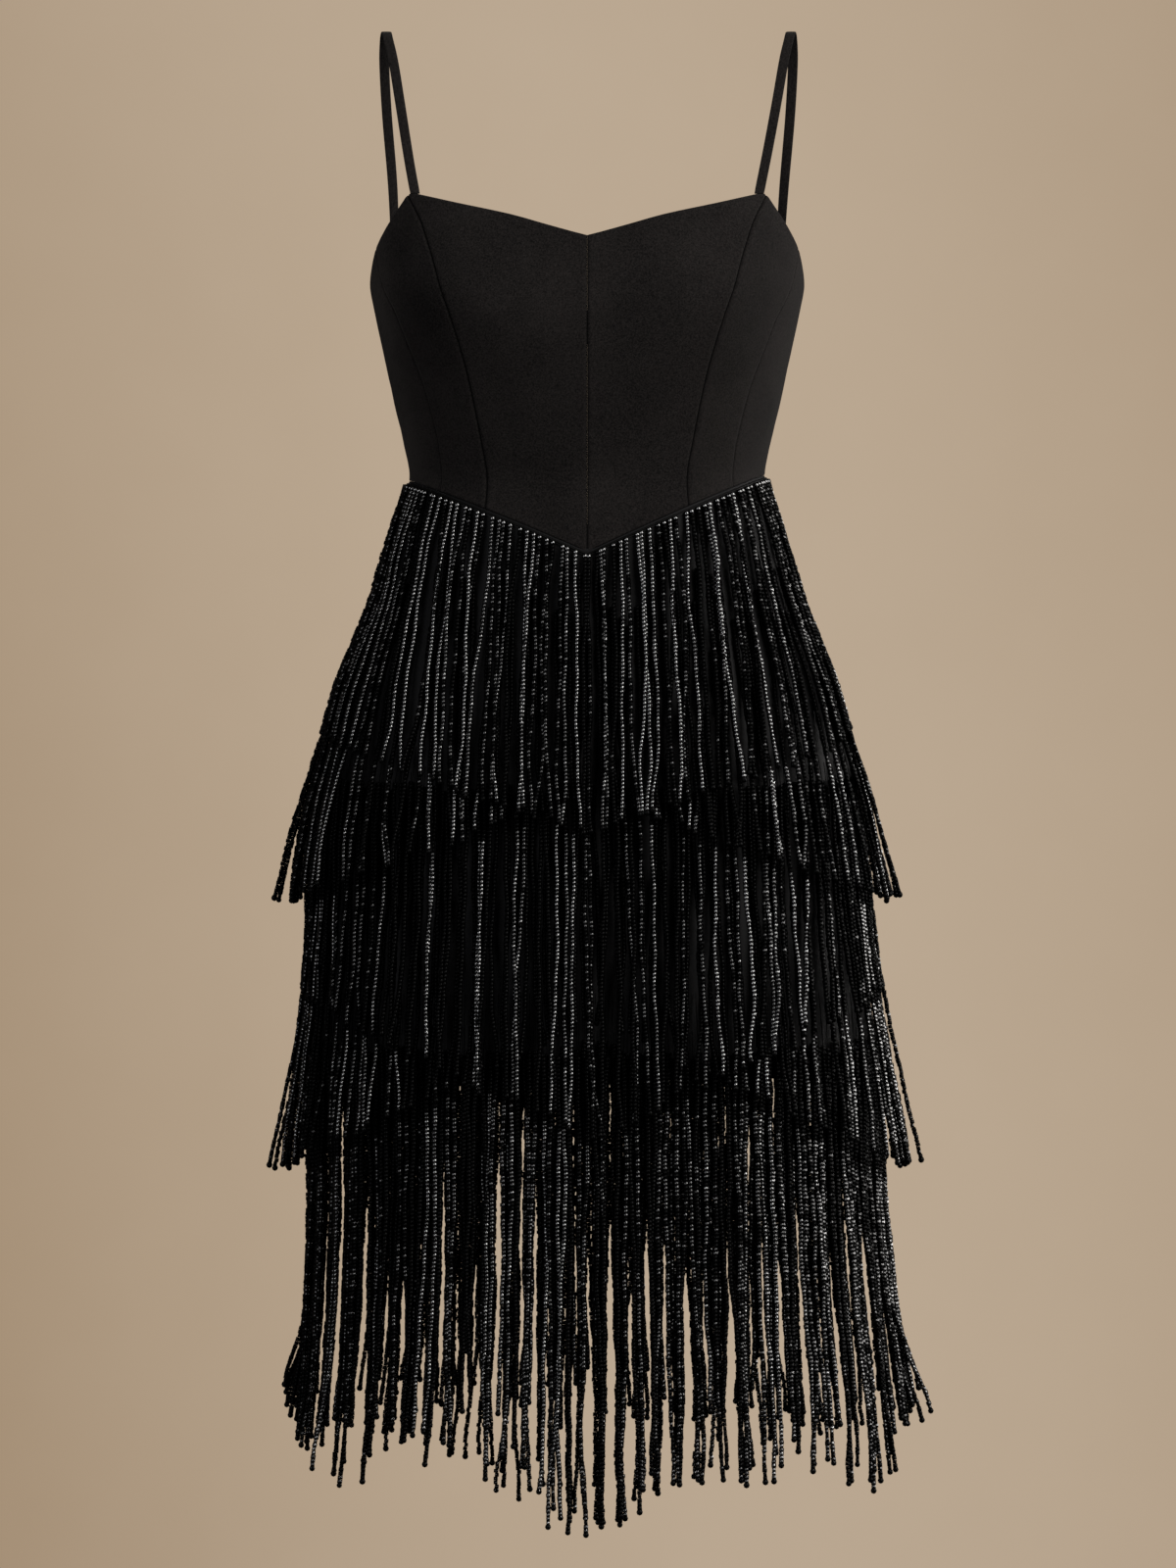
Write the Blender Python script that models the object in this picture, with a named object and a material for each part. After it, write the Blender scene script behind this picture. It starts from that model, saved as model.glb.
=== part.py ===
"""Flapper dress: a fitted crepe bodice on two thin straps, and a slip skirt under three tiers of
beaded fringe. Nobody wears it, but the cloth keeps the hollow form of a general figure.

Metres, +Z up. The front faces -Y and +X is to the right of someone who looks at the front. The origin
is midway between the tops of the straps, where the wearer's shoulders carry the dress. A turn is an
angle round the dress from the centre front, towards +X."""

import math
from collections import namedtuple

import bmesh
import bpy
from mathutils import Matrix, Vector

# ---- Cloth and seams ----
BODICE_WALL = 0.0012
SLIP_WALL = 0.0010
TAPE_WALL = 0.0010
STRAP_WALL = 0.0012
FRINGE_WALL = 0.0030  # one layer of strands, as thick as its beads
SEAM_GAP = 0.0003
LAYER_GAP = 0.0012  # between one fringe and the next one out
SEAT_GAP = 0.0007  # between a header, or the waist tape, and the slip under it

# ---- Levels ----
WAIST_SIDE = -0.3160
WAIST_DROP_FRONT = 0.0520  # how far the waist seam's point hangs below its sides
WAIST_DROP_BACK = 0.0300
WAIST_BOW = 1.18
SLIP_HEM = -0.7380

# ---- The figure's girth: outer face of the bodice, and of the slip below the waist ----
# corner is how far the four corners of the section stand out from an ellipse, as a share
Girth = namedtuple("Girth", "z half_width front back corner")
GIRTHS = (
    Girth(-0.100, 0.1480, 0.0960, 0.0930, 0.090),
    Girth(-0.145, 0.1525, 0.1090, 0.0980, 0.085),
    Girth(-0.180, 0.1530, 0.1170, 0.1000, 0.070),
    Girth(-0.200, 0.1495, 0.1190, 0.0990, 0.055),
    Girth(-0.228, 0.1435, 0.1160, 0.0950, 0.045),
    Girth(-0.263, 0.1360, 0.1080, 0.0895, 0.035),
    Girth(-0.293, 0.1290, 0.1010, 0.0860, 0.030),
    Girth(-0.316, 0.1252, 0.0970, 0.0855, 0.030),
    Girth(-0.345, 0.1325, 0.0985, 0.0920, 0.030),
    Girth(-0.393, 0.1460, 0.1050, 0.1070, 0.035),
    Girth(-0.428, 0.1590, 0.1110, 0.1180, 0.040),
    Girth(-0.455, 0.1700, 0.1160, 0.1260, 0.045),
    Girth(-0.483, 0.1775, 0.1200, 0.1310, 0.050),
    Girth(-0.524, 0.1855, 0.1250, 0.1350, 0.050),
    Girth(-0.566, 0.1900, 0.1290, 0.1360, 0.045),
    Girth(-0.611, 0.1920, 0.1320, 0.1360, 0.040),
    Girth(-0.669, 0.1935, 0.1350, 0.1370, 0.035),
    Girth(-0.738, 0.1950, 0.1370, 0.1380, 0.030),
    Girth(-0.860, 0.1965, 0.1385, 0.1390, 0.030),
    Girth(-1.070, 0.1980, 0.1400, 0.1400, 0.030),
)

# The skirt hangs a little to one side, more so lower down
Sway = namedtuple("Sway", "z shift")
SWAYS = (
    Sway(-0.566, 0.0000),
    Sway(-0.669, 0.0030),
    Sway(-0.773, 0.0055),
    Sway(-0.876, 0.0085),
    Sway(-0.980, 0.0115),
    Sway(-1.070, 0.0120),
)

# ---- Bust: the cups that the curved seams shape ----
BUST_FULLNESS = 0.0080
BUST_LEVEL = -0.1950
BUST_HEIGHT = 0.0420
BUST_TURN = math.radians(33)
BUST_SPREAD = math.radians(17)

# ---- Top edge: sweetheart neckline, corner at the strap, armhole, straight back ----
TopEdge = namedtuple("TopEdge", "turn_deg z")
TOP_EDGE = (
    TopEdge(0, -0.1446),
    TopEdge(4.5, -0.1430),
    TopEdge(11.5, -0.1376),
    TopEdge(20.0, -0.1314),
    TopEdge(32.0, -0.1245),
    TopEdge(48.5, -0.1170),
    TopEdge(52.0, -0.1172),
    TopEdge(56.5, -0.1280),
    TopEdge(62.5, -0.1408),
    TopEdge(71.0, -0.1566),
    TopEdge(79.0, -0.1700),
    TopEdge(90.0, -0.1815),
    TopEdge(105.0, -0.1865),
    TopEdge(125.0, -0.1880),
    TopEdge(150.0, -0.1915),
    TopEdge(180.0, -0.1950),
)

# ---- Seams of the bodice, as turns at each level ----
Seam = namedtuple("Seam", "z turn_deg")
PRINCESS_SEAM = (
    Seam(-0.117, 51.0),
    Seam(-0.148, 45.0),
    Seam(-0.172, 41.5),
    Seam(-0.197, 39.0),
    Seam(-0.222, 36.8),
    Seam(-0.247, 35.2),
    Seam(-0.276, 34.4),
    Seam(-0.302, 34.2),
    Seam(-0.335, 34.2),
)
UNDERARM_SEAM = (
    Seam(-0.155, 71.0),
    Seam(-0.185, 65.5),
    Seam(-0.208, 61.5),
    Seam(-0.222, 58.5),
    Seam(-0.242, 55.8),
    Seam(-0.263, 54.2),
    Seam(-0.286, 53.6),
    Seam(-0.316, 53.6),
    Seam(-0.335, 53.6),
)
BACK_SEAM = (
    Seam(-0.180, 116.0),
    Seam(-0.240, 122.0),
    Seam(-0.316, 126.4),
    Seam(-0.335, 126.4),
)
CENTRE_FRONT = (Seam(0.0, 0.0), Seam(-1.0, 0.0))
CENTRE_BACK = (Seam(0.0, 180.0), Seam(-1.0, 180.0))

# Columns of each panel, which the slip, tapes and fringes share below the waist
Panel = namedtuple("Panel", "name left right columns")
PANELS = (
    Panel("center_front", CENTRE_FRONT, PRINCESS_SEAM, 4),
    Panel("side_front", PRINCESS_SEAM, UNDERARM_SEAM, 2),
    Panel("underarm", UNDERARM_SEAM, BACK_SEAM, 6),
    Panel("back", BACK_SEAM, CENTRE_BACK, 5),
)
BODICE_ROWS = 7

# ---- Header tape along the waist seam ----
TAPE_BELOW_SEAM = 0.0014
TAPE_HEIGHT = 0.0024

# ---- Straps: width and the way over the right shoulder ----
STRAP_WIDTH = 0.0070
STRAP_FRONT_TURN = math.radians(50.0)
STRAP_BACK_TURN = math.radians(122.0)
STRAP_ROWS = 22
STRAP_STEP = 0.0005  # the run over which a strap's direction is read
StrapPoint = namedtuple("StrapPoint", "x y z")
STRAP_WAY = (
    StrapPoint(0.1255, -0.0560, -0.0900),
    StrapPoint(0.1315, -0.0400, -0.0500),
    StrapPoint(0.1365, -0.0250, -0.0210),
    StrapPoint(0.1398, -0.0130, -0.0070),
    StrapPoint(0.1415, 0.0000, -0.0022),
    StrapPoint(0.1412, 0.0130, -0.0075),
    StrapPoint(0.1405, 0.0240, -0.0230),
    StrapPoint(0.1390, 0.0370, -0.0600),
    StrapPoint(0.1365, 0.0490, -0.1150),
)

# ---- Fringe: how far each tier's lower layer stands off the slip, at each level ----
Drape = namedtuple("Drape", "z lift")
TIER_1_DRAPE = (
    Drape(-0.300, 0.0004),
    Drape(-0.428, 0.0006),
    Drape(-0.455, 0.0010),
    Drape(-0.483, 0.0022),
    Drape(-0.524, 0.0070),
    Drape(-0.566, 0.0130),
    Drape(-0.611, 0.0195),
    Drape(-0.640, 0.0225),
)
TIER_2_DRAPE = (
    Drape(-0.500, 0.0004),
    Drape(-0.566, 0.0006),
    Drape(-0.632, 0.0035),
    Drape(-0.664, 0.0070),
    Drape(-0.711, 0.0125),
    Drape(-0.749, 0.0180),
    Drape(-0.778, 0.0225),
    Drape(-0.810, 0.0265),
)
TIER_3_DRAPE = (
    Drape(-0.680, 0.0004),
    Drape(-0.807, 0.0004),
    Drape(-0.856, 0.0025),
    Drape(-0.914, 0.0065),
    Drape(-0.970, 0.0115),
    Drape(-1.028, 0.0165),
    Drape(-1.070, 0.0195),
)
DRAPE_RISE = 0.0300  # a strand reaches its full stand-off this far under its header

# ---- Fringe: header and hem of each layer, at the centre and at the sides ----
# layer counts outwards in a tier, and bow bends the hem's line between centre and side
Fringe = namedtuple(
    "Fringe", "name drape layer top_centre top_side hem_centre hem_side bow rows open_back"
)
FRINGES = (
    Fringe("fringe_3_lower", TIER_3_DRAPE, 0, -0.7300, -0.7300, -0.9660, -1.0230, 1.0, 7, False),
    Fringe("fringe_3_upper", TIER_3_DRAPE, 1, -0.6780, -0.6780, -1.0580, -0.9730, 0.8, 8, False),
    Fringe("fringe_2_lower", TIER_2_DRAPE, 0, -0.5900, -0.5700, -0.6940, -0.8030, 1.0, 6, False),
    Fringe("fringe_2_upper", TIER_2_DRAPE, 1, -0.5550, -0.5350, -0.7810, -0.6770, 1.0, 6, False),
    Fringe("fringe_1_lower", TIER_1_DRAPE, 0, -0.4130, -0.4210, -0.5350, -0.6150, 1.0, 6, True),
    Fringe("fringe_1_upper", TIER_1_DRAPE, 1, None, None, -0.5660, -0.4960, 1.0, 6, True),
)

# ---- Slip ----
SLIP_ROWS = 8
SLIP_EASE = 1.5  # above 1, rows lie closer together near the top, where the slip leaves the waist

# ---- Zip at the centre back: slider, and the tab that hangs from it ----
# The tab swings on a bar, which is held between two lugs that stand on the slider's plate
SLIDER_TOP_BELOW_EDGE = 0.0020
SLIDER_WIDTH = 0.0056
SLIDER_HEIGHT = 0.0090
SLIDER_PLATE = 0.0016
BAR_RADIUS = 0.0006
BAR_STAND_OFF = 0.0024  # from the plate's face to the bar's axis
LUG_GAP = 0.0031
LUG_WIDTH = 0.0010
LUG_HEIGHT = 0.0022
LUG_PAST_BAR = 0.0009
EYE_RADIUS = 0.0009
EYE_OUTER = 0.0018
EYE_WIDTH = 0.0024
TAB_WIDTH = 0.0046
TAB_LENGTH = 0.0190
TAB_WALL = 0.0010
TAB_START = 0.0026  # where the tab widens, below the bar's axis
TAB_ROUNDING = 0.0020
TAB_ROUND_STEPS = 5
ROUND_SIDES = 16

MATERIALS = {
    # name: base colour, roughness, metallic
    "crepe": ((0.010, 0.009, 0.009, 1.0), 0.85, 0.0),
    "slip_cloth": ((0.008, 0.008, 0.009, 1.0), 0.60, 0.0),
    "beads": ((0.004, 0.004, 0.005, 1.0), 0.12, 0.0),
    "tape": ((0.006, 0.006, 0.006, 1.0), 0.70, 0.0),
    "zip_metal": ((0.020, 0.020, 0.022, 1.0), 0.35, 1.0),
}


# ---- Reading the tables ----
def mix(start, end, share):
    return start + (end - start) * share


def read_curve(places, values, place):
    """The value at a place, on a smooth curve through the rows. Places rise or fall all the way."""
    if (place - places[0]) * (places[-1] - places[0]) <= 0:
        return values[0]
    if (place - places[-1]) * (places[-1] - places[0]) >= 0:
        return values[-1]
    row = 0
    while (place - places[row + 1]) * (places[-1] - places[0]) > 0:
        row += 1
    span = places[row + 1] - places[row]
    share = (place - places[row]) / span

    def slope(at):
        before = max(at - 1, 0)
        after = min(at + 1, len(places) - 1)
        return (values[after] - values[before]) / (places[after] - places[before])

    rise = values[row + 1] - values[row]
    start = slope(row) * span - rise
    end = rise - slope(row + 1) * span
    return values[row] + rise * share + share * (1 - share) * (start * (1 - share) + end * share)


def level(rows, column, z):
    return read_curve([row.z for row in rows], [getattr(row, column) for row in rows], z)


# ---- The form that the cloth keeps ----
def skin(turn, z, out=0.0):
    """A point of the dress's outer face, moved out by a distance."""
    girth = {column: level(GIRTHS, column, z) for column in Girth._fields[1:]}
    depth = girth["front"] if math.cos(turn) > 0 else girth["back"]
    corner = 1 + girth["corner"] * math.sin(2 * turn) ** 2
    side = (abs(math.remainder(turn, 2 * math.pi)) - BUST_TURN) / BUST_SPREAD
    height = (z - BUST_LEVEL) / BUST_HEIGHT
    cup = BUST_FULLNESS * math.exp(-(side**2) - height**2)
    x = (girth["half_width"] + out) * math.sin(turn) * corner + cup * math.sin(turn)
    y = -(depth + out) * math.cos(turn) * corner - cup * math.cos(turn)
    return Vector((x + level(SWAYS, "shift", z), y, z))


def along_skin(turn, z):
    """How the point moves as the turn grows, in metres a radian."""
    step = 0.001
    return (skin(turn + step, z) - skin(turn - step, z)) / (2 * step)


def half_gap(turn, z):
    """Half of a seam's gap, as a turn."""
    return SEAM_GAP / 2 / along_skin(turn, z).length


def waist_seam(turn):
    drop = WAIST_DROP_FRONT if math.cos(turn) > 0 else WAIST_DROP_BACK
    return WAIST_SIDE - drop * (1 - abs(math.sin(turn))) ** WAIST_BOW


def top_edge(turn):
    turn_deg = abs(math.degrees(turn))
    return read_curve([row.turn_deg for row in TOP_EDGE], [row.z for row in TOP_EDGE], turn_deg)


# ---- Building a piece ----
def make_material(name):
    color, roughness, metallic = MATERIALS[name]
    material = bpy.data.materials.new(name)
    material.use_nodes = True
    shader = material.node_tree.nodes["Principled BSDF"]
    shader.inputs["Base Color"].default_value = color
    shader.inputs["Roughness"].default_value = roughness
    shader.inputs["Metallic"].default_value = metallic
    material.diffuse_color = color
    return material


def add_piece(name, bm, material_name):
    mesh = bpy.data.meshes.new(name)
    bmesh.ops.recalc_face_normals(bm, faces=bm.faces)
    bm.to_mesh(mesh)
    bm.free()
    piece = bpy.data.objects.new(name, mesh)
    mesh.materials.append(make_material(material_name))
    bpy.data.collections["flapper_dress"].objects.link(piece)
    return piece


def add_wall(name, material_name, columns, rows, face, lining):
    """A cut piece of cloth as a closed wall: a grid laid on its face, then extruded to its lining side.
    Both functions take a column and a row, counted from 0."""
    bm = bmesh.new()
    bmesh.ops.create_grid(bm, x_segments=columns, y_segments=rows, size=0.5)
    column_of = bm.verts.layers.int.new("column")
    row_of = bm.verts.layers.int.new("row")
    for vert in bm.verts:
        vert[column_of] = round((vert.co.x + 0.5) * columns)
        vert[row_of] = round((vert.co.y + 0.5) * rows)
    extruded = bmesh.ops.extrude_face_region(bm, geom=bm.faces[:])
    lining_side = {part for part in extruded["geom"] if isinstance(part, bmesh.types.BMVert)}
    for vert in bm.verts:
        place = lining if vert in lining_side else face
        vert.co = place(vert[column_of], vert[row_of])
    return add_piece(name, bm, material_name)


# ---- Bodice ----
SETTLE_STEPS = 12


def add_bodice_panel(panel, side):
    """One panel of the bodice, and side is 1 for +X or -1 for its mirror image."""

    def place(column, row, out):
        across = column / panel.columns
        turn = math.radians(mix(panel.left[-1].turn_deg, panel.right[-1].turn_deg, across))
        for _ in range(SETTLE_STEPS):
            z = mix(waist_seam(turn) + SEAM_GAP / 2, top_edge(turn), row / BODICE_ROWS)
            left = math.radians(level(panel.left, "turn_deg", z))
            right = math.radians(level(panel.right, "turn_deg", z))
            turn = mix(left + half_gap(left, z), right - half_gap(right, z), across)
        return skin(side * turn, z, out)

    add_wall(
        f"{panel.name}_{'right' if side > 0 else 'left'}",
        "crepe",
        panel.columns,
        BODICE_ROWS,
        lambda column, row: place(column, row, 0.0),
        lambda column, row: place(column, row, -BODICE_WALL),
    )


# ---- Pieces that go round below the waist ----
def waist_turns(panels):
    """The panels' columns at the waist, as turns from the centre front to +X."""
    turns = [math.radians(panels[0].left[-1].turn_deg)]
    for panel in panels:
        start = math.radians(panel.left[-1].turn_deg)
        end = math.radians(panel.right[-1].turn_deg)
        turns += [mix(start, end, (count + 1) / panel.columns) for count in range(panel.columns)]
    return turns


def stretches(open_back):
    """Name endings and turns of the lengths that a round piece is cut in: front and back, with the back
    in halves where the zip opens it."""
    quarter = [turn for turn in waist_turns(PANELS) if turn <= math.pi / 2 + SEAM_GAP]
    rest = [turn for turn in waist_turns(PANELS) if turn >= math.pi / 2 - SEAM_GAP]
    front = [-turn for turn in reversed(quarter[1:])] + quarter
    other = [2 * math.pi - turn for turn in reversed(rest)]
    if open_back:
        return [("front", front), ("back_right", rest), ("back_left", other)]
    return [("front", front), ("back", rest + other[1:])]


def add_round_wall(name, material_name, turns, rows, top, bottom, inner, wall, ease=1.0):
    """A wall between two lines, top and bottom, at turns. inner gives how far its inner face stands off
    the slip at a turn and level."""

    def place(column, row, thickness):
        turn = turns[column]
        z = mix(top(turn), bottom(turn), (1 - row / rows) ** ease)
        out = inner(turn, z) + thickness
        if column == 0:
            turn += half_gap(turn, z)
        if column == len(turns) - 1:
            turn -= half_gap(turn, z)
        return skin(turn, z, out)

    add_wall(
        name,
        material_name,
        len(turns) - 1,
        rows,
        lambda column, row: place(column, row, wall),
        lambda column, row: place(column, row, 0.0),
    )


def add_slip():
    for ending, turns in stretches(open_back=True):
        add_round_wall(
            f"slip_{ending}",
            "slip_cloth",
            turns,
            SLIP_ROWS,
            lambda turn: waist_seam(turn) - SEAM_GAP / 2,
            lambda turn: SLIP_HEM,
            lambda turn, z: -SLIP_WALL,
            SLIP_WALL,
            SLIP_EASE,
        )


def add_waist_tape():
    """The narrow tape that carries the first fringe's strands, on the slip just under the waist seam."""
    for ending, turns in stretches(open_back=True):
        add_round_wall(
            f"waist_tape_{ending}",
            "tape",
            turns,
            1,
            lambda turn: waist_seam(turn) - TAPE_BELOW_SEAM,
            lambda turn: waist_seam(turn) - TAPE_BELOW_SEAM - TAPE_HEIGHT,
            lambda turn, z: SEAT_GAP,
            TAPE_WALL,
        )


def add_fringe(fringe):
    """The reach of one layer of strands, from its header to its hem."""

    def top(turn):
        if fringe.top_centre is None:
            return waist_seam(turn) - TAPE_BELOW_SEAM - TAPE_HEIGHT - SEAM_GAP
        return mix(fringe.top_centre, fringe.top_side, abs(math.sin(turn)))

    def hem(turn):
        return mix(fringe.hem_centre, fringe.hem_side, abs(math.sin(turn)) ** fringe.bow)

    def inner(turn, z):
        lift = level(fringe.drape, "lift", z) + fringe.layer * (FRINGE_WALL + LAYER_GAP)
        share = min((top(turn) - z) / DRAPE_RISE, 1)
        return mix(SEAT_GAP, lift, share)

    for ending, turns in stretches(fringe.open_back):
        add_round_wall(
            f"{fringe.name}_{ending}", "beads", turns, fringe.rows, top, hem, inner, FRINGE_WALL
        )


# ---- Straps ----
def add_strap(side):
    """A flat band from the corner of the neckline over the shoulder to the back's top edge. It comes out
    of the edge at both ends, as if sewn into it."""
    ends = []
    for turn in (STRAP_FRONT_TURN, STRAP_BACK_TURN):
        ends.append(skin(turn, top_edge(turn) + SEAM_GAP, -BODICE_WALL / 2))
    way = [ends[0], *(Vector(point) for point in STRAP_WAY), ends[1]]
    lengths = [0.0]
    for start, end in zip(way, way[1:]):
        lengths.append(lengths[-1] + (end - start).length)

    def middle(run):
        return Vector([read_curve(lengths, [point[axis] for point in way], run) for axis in range(3)])

    def place(column, row, out):
        """The band's width runs along the edge at its ends, and straight out to the side on the shoulder."""
        run = lengths[-1] * row / STRAP_ROWS
        turn = STRAP_FRONT_TURN if row < STRAP_ROWS / 2 else STRAP_BACK_TURN
        along = along_skin(turn, top_edge(turn))
        facing = math.copysign(1, along.x)
        level_share = math.sin(math.pi * row / STRAP_ROWS)
        width = mix(along.normalized() * facing, Vector((1, 0, 0)), level_share).normalized()
        tangent = (middle(run + STRAP_STEP) - middle(run - STRAP_STEP)).normalized()
        reach = (column - 0.5) * STRAP_WIDTH
        point = middle(run) + width * reach
        if row in (0, STRAP_ROWS):
            edge = turn + reach * facing / along.length
            point = skin(edge, top_edge(turn) + SEAM_GAP, -BODICE_WALL / 2)
        point += width.cross(tangent).normalized() * out
        return Vector((side * point.x, point.y, point.z))

    add_wall(
        f"strap_{'right' if side > 0 else 'left'}",
        "crepe",
        1,
        STRAP_ROWS,
        lambda column, row: place(column, row, STRAP_WALL / 2),
        lambda column, row: place(column, row, -STRAP_WALL / 2),
    )


# ---- Zip ----
def box_shape(center, size, rounded=0.0):
    """A box whose two lower edges along Y may be rounded."""
    bm = bmesh.new()
    bmesh.ops.create_cube(bm, size=1.0)
    bmesh.ops.scale(bm, vec=size, verts=bm.verts)
    if rounded:
        low = [edge for edge in bm.edges if all(vert.co.z < 0 for vert in edge.verts)]
        ends = [edge for edge in low if edge.verts[0].co.x == edge.verts[1].co.x]
        bmesh.ops.bevel(
            bm, geom=ends, offset=rounded, segments=TAB_ROUND_STEPS, profile=0.5, affect="EDGES"
        )
    bmesh.ops.translate(bm, vec=center, verts=bm.verts)
    return bm


def bar_shape(radius, length):
    """A round bar along X, through the zip's hinge axis."""
    bm = bmesh.new()
    bmesh.ops.create_cone(
        bm, cap_ends=True, segments=ROUND_SIDES, radius1=radius, radius2=radius, depth=length
    )
    bmesh.ops.rotate(bm, cent=(0, 0, 0), matrix=Matrix.Rotation(math.pi / 2, 3, "Y"), verts=bm.verts)
    return bm


def add_shape(bm, name, operation, target):
    """A shape that is joined to a piece, or cut from it, by a Boolean."""
    mesh = bpy.data.meshes.new(name)
    bmesh.ops.recalc_face_normals(bm, faces=bm.faces)
    bm.to_mesh(mesh)
    bm.free()
    shape = bpy.data.objects.new(name, mesh)
    shape.hide_render = True
    shape.display_type = "WIRE"
    shape.matrix_world = target.matrix_world
    bpy.data.collections["cutters"].objects.link(shape)
    boolean = target.modifiers.new(name, "BOOLEAN")
    boolean.operation = operation
    boolean.object = shape


def add_zip():
    """The slider at the top of the closed zip, and its tab, which hangs from a bar between two lugs."""
    turn = math.pi
    top = top_edge(turn) - SLIDER_TOP_BELOW_EDGE
    bottom = top - SLIDER_HEIGHT
    lean = math.atan((skin(turn, top).y - skin(turn, bottom).y) / SLIDER_HEIGHT)
    z = (top + bottom) / 2
    out = (SEAM_GAP + SLIDER_PLATE + BAR_STAND_OFF) / math.cos(lean)
    axis = Vector((level(SWAYS, "shift", z), skin(turn, z).y + out, z))

    plate = box_shape((0, -BAR_STAND_OFF - SLIDER_PLATE / 2, 0), (SLIDER_WIDTH, SLIDER_PLATE, SLIDER_HEIGHT))
    slider = add_piece("zip_slider", plate, "zip_metal")
    slider.matrix_world = Matrix.Translation(axis) @ Matrix.Rotation(-lean, 4, "X")
    lug_depth = BAR_STAND_OFF + LUG_PAST_BAR + SLIDER_PLATE / 2
    for side in (-1, 1):
        x = side * (LUG_GAP + LUG_WIDTH) / 2
        lug = box_shape((x, LUG_PAST_BAR - lug_depth / 2, 0), (LUG_WIDTH, lug_depth, LUG_HEIGHT))
        add_shape(lug, f"lug_{'right' if side > 0 else 'left'}", "UNION", slider)
    add_shape(bar_shape(BAR_RADIUS, LUG_GAP + LUG_WIDTH), "bar", "UNION", slider)

    tab_length = TAB_LENGTH - TAB_START
    tab = box_shape(
        (0, 0, -TAB_START - tab_length / 2), (TAB_WIDTH, TAB_WALL, tab_length), rounded=TAB_ROUNDING
    )
    pull = add_piece("zip_pull", tab, "zip_metal")
    pull.matrix_world = Matrix.Translation(axis)
    neck_length = TAB_START + TAB_WALL
    add_shape(box_shape((0, 0, -neck_length / 2), (EYE_WIDTH, TAB_WALL, neck_length)), "neck", "UNION", pull)
    add_shape(bar_shape(EYE_OUTER, EYE_WIDTH), "eye", "UNION", pull)
    add_shape(bar_shape(EYE_RADIUS, EYE_WIDTH * 2), "eye_hole", "DIFFERENCE", pull)


# ---- The dress ----
def clear_scene():
    for thing in list(bpy.data.objects):
        bpy.data.objects.remove(thing, do_unlink=True)
    for name in ("flapper_dress", "cutters"):
        if name not in bpy.data.collections:
            bpy.context.scene.collection.children.link(bpy.data.collections.new(name))


def build():
    clear_scene()
    for panel in PANELS:
        for side in (-1, 1):
            add_bodice_panel(panel, side)
    for side in (-1, 1):
        add_strap(side)
    add_slip()
    add_waist_tape()
    for fringe in FRINGES:
        add_fringe(fringe)
    add_zip()


build()
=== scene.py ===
"""A flapper dress in black crepe with three tiers of strung glass beads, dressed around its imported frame.

Metres, with +Z up, the wearer's front towards -Y and +X to the right of the view. A turn is the angle
round the body from the centre front towards +X. The tables of the form start from those of the CAD source, with
the seams, the top edge and the straps moved a few millimetres."""

import math
from collections import namedtuple

import bpy
import numpy as np
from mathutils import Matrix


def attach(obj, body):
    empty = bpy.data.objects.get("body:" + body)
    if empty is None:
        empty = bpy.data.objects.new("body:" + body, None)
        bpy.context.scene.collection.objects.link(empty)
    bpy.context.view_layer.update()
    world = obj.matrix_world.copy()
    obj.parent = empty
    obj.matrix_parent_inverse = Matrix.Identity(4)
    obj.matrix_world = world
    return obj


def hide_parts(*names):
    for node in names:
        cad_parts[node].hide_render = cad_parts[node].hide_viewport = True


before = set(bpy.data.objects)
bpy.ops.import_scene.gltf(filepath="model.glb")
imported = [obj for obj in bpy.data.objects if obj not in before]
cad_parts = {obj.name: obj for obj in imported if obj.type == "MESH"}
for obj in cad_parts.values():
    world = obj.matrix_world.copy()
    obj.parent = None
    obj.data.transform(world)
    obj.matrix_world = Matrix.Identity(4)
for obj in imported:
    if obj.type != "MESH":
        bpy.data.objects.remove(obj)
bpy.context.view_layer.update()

# ---- The form that the cloth keeps ----
BODICE_WALL = 0.0012
SLIP_WALL = 0.0010
TAPE_WALL = 0.0010
SEAM_GAP = 0.0003
SEAM_SHOWN = 0.00003
LAYER_GAP = 0.0012
SEAT_GAP = 0.0007
FRINGE_WALL = 0.0030
SLIP_HEM = -0.7380
WAIST_SIDE = -0.3160
WAIST_DROP_FRONT = 0.0520
WAIST_DROP_BACK = 0.0300
WAIST_BOW = 1.18
WAIST_TILT = 0.0020
TAPE_BELOW_SEAM = 0.0014
TAPE_HEIGHT = 0.0024
DRAPE_RISE = 0.0300

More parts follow.
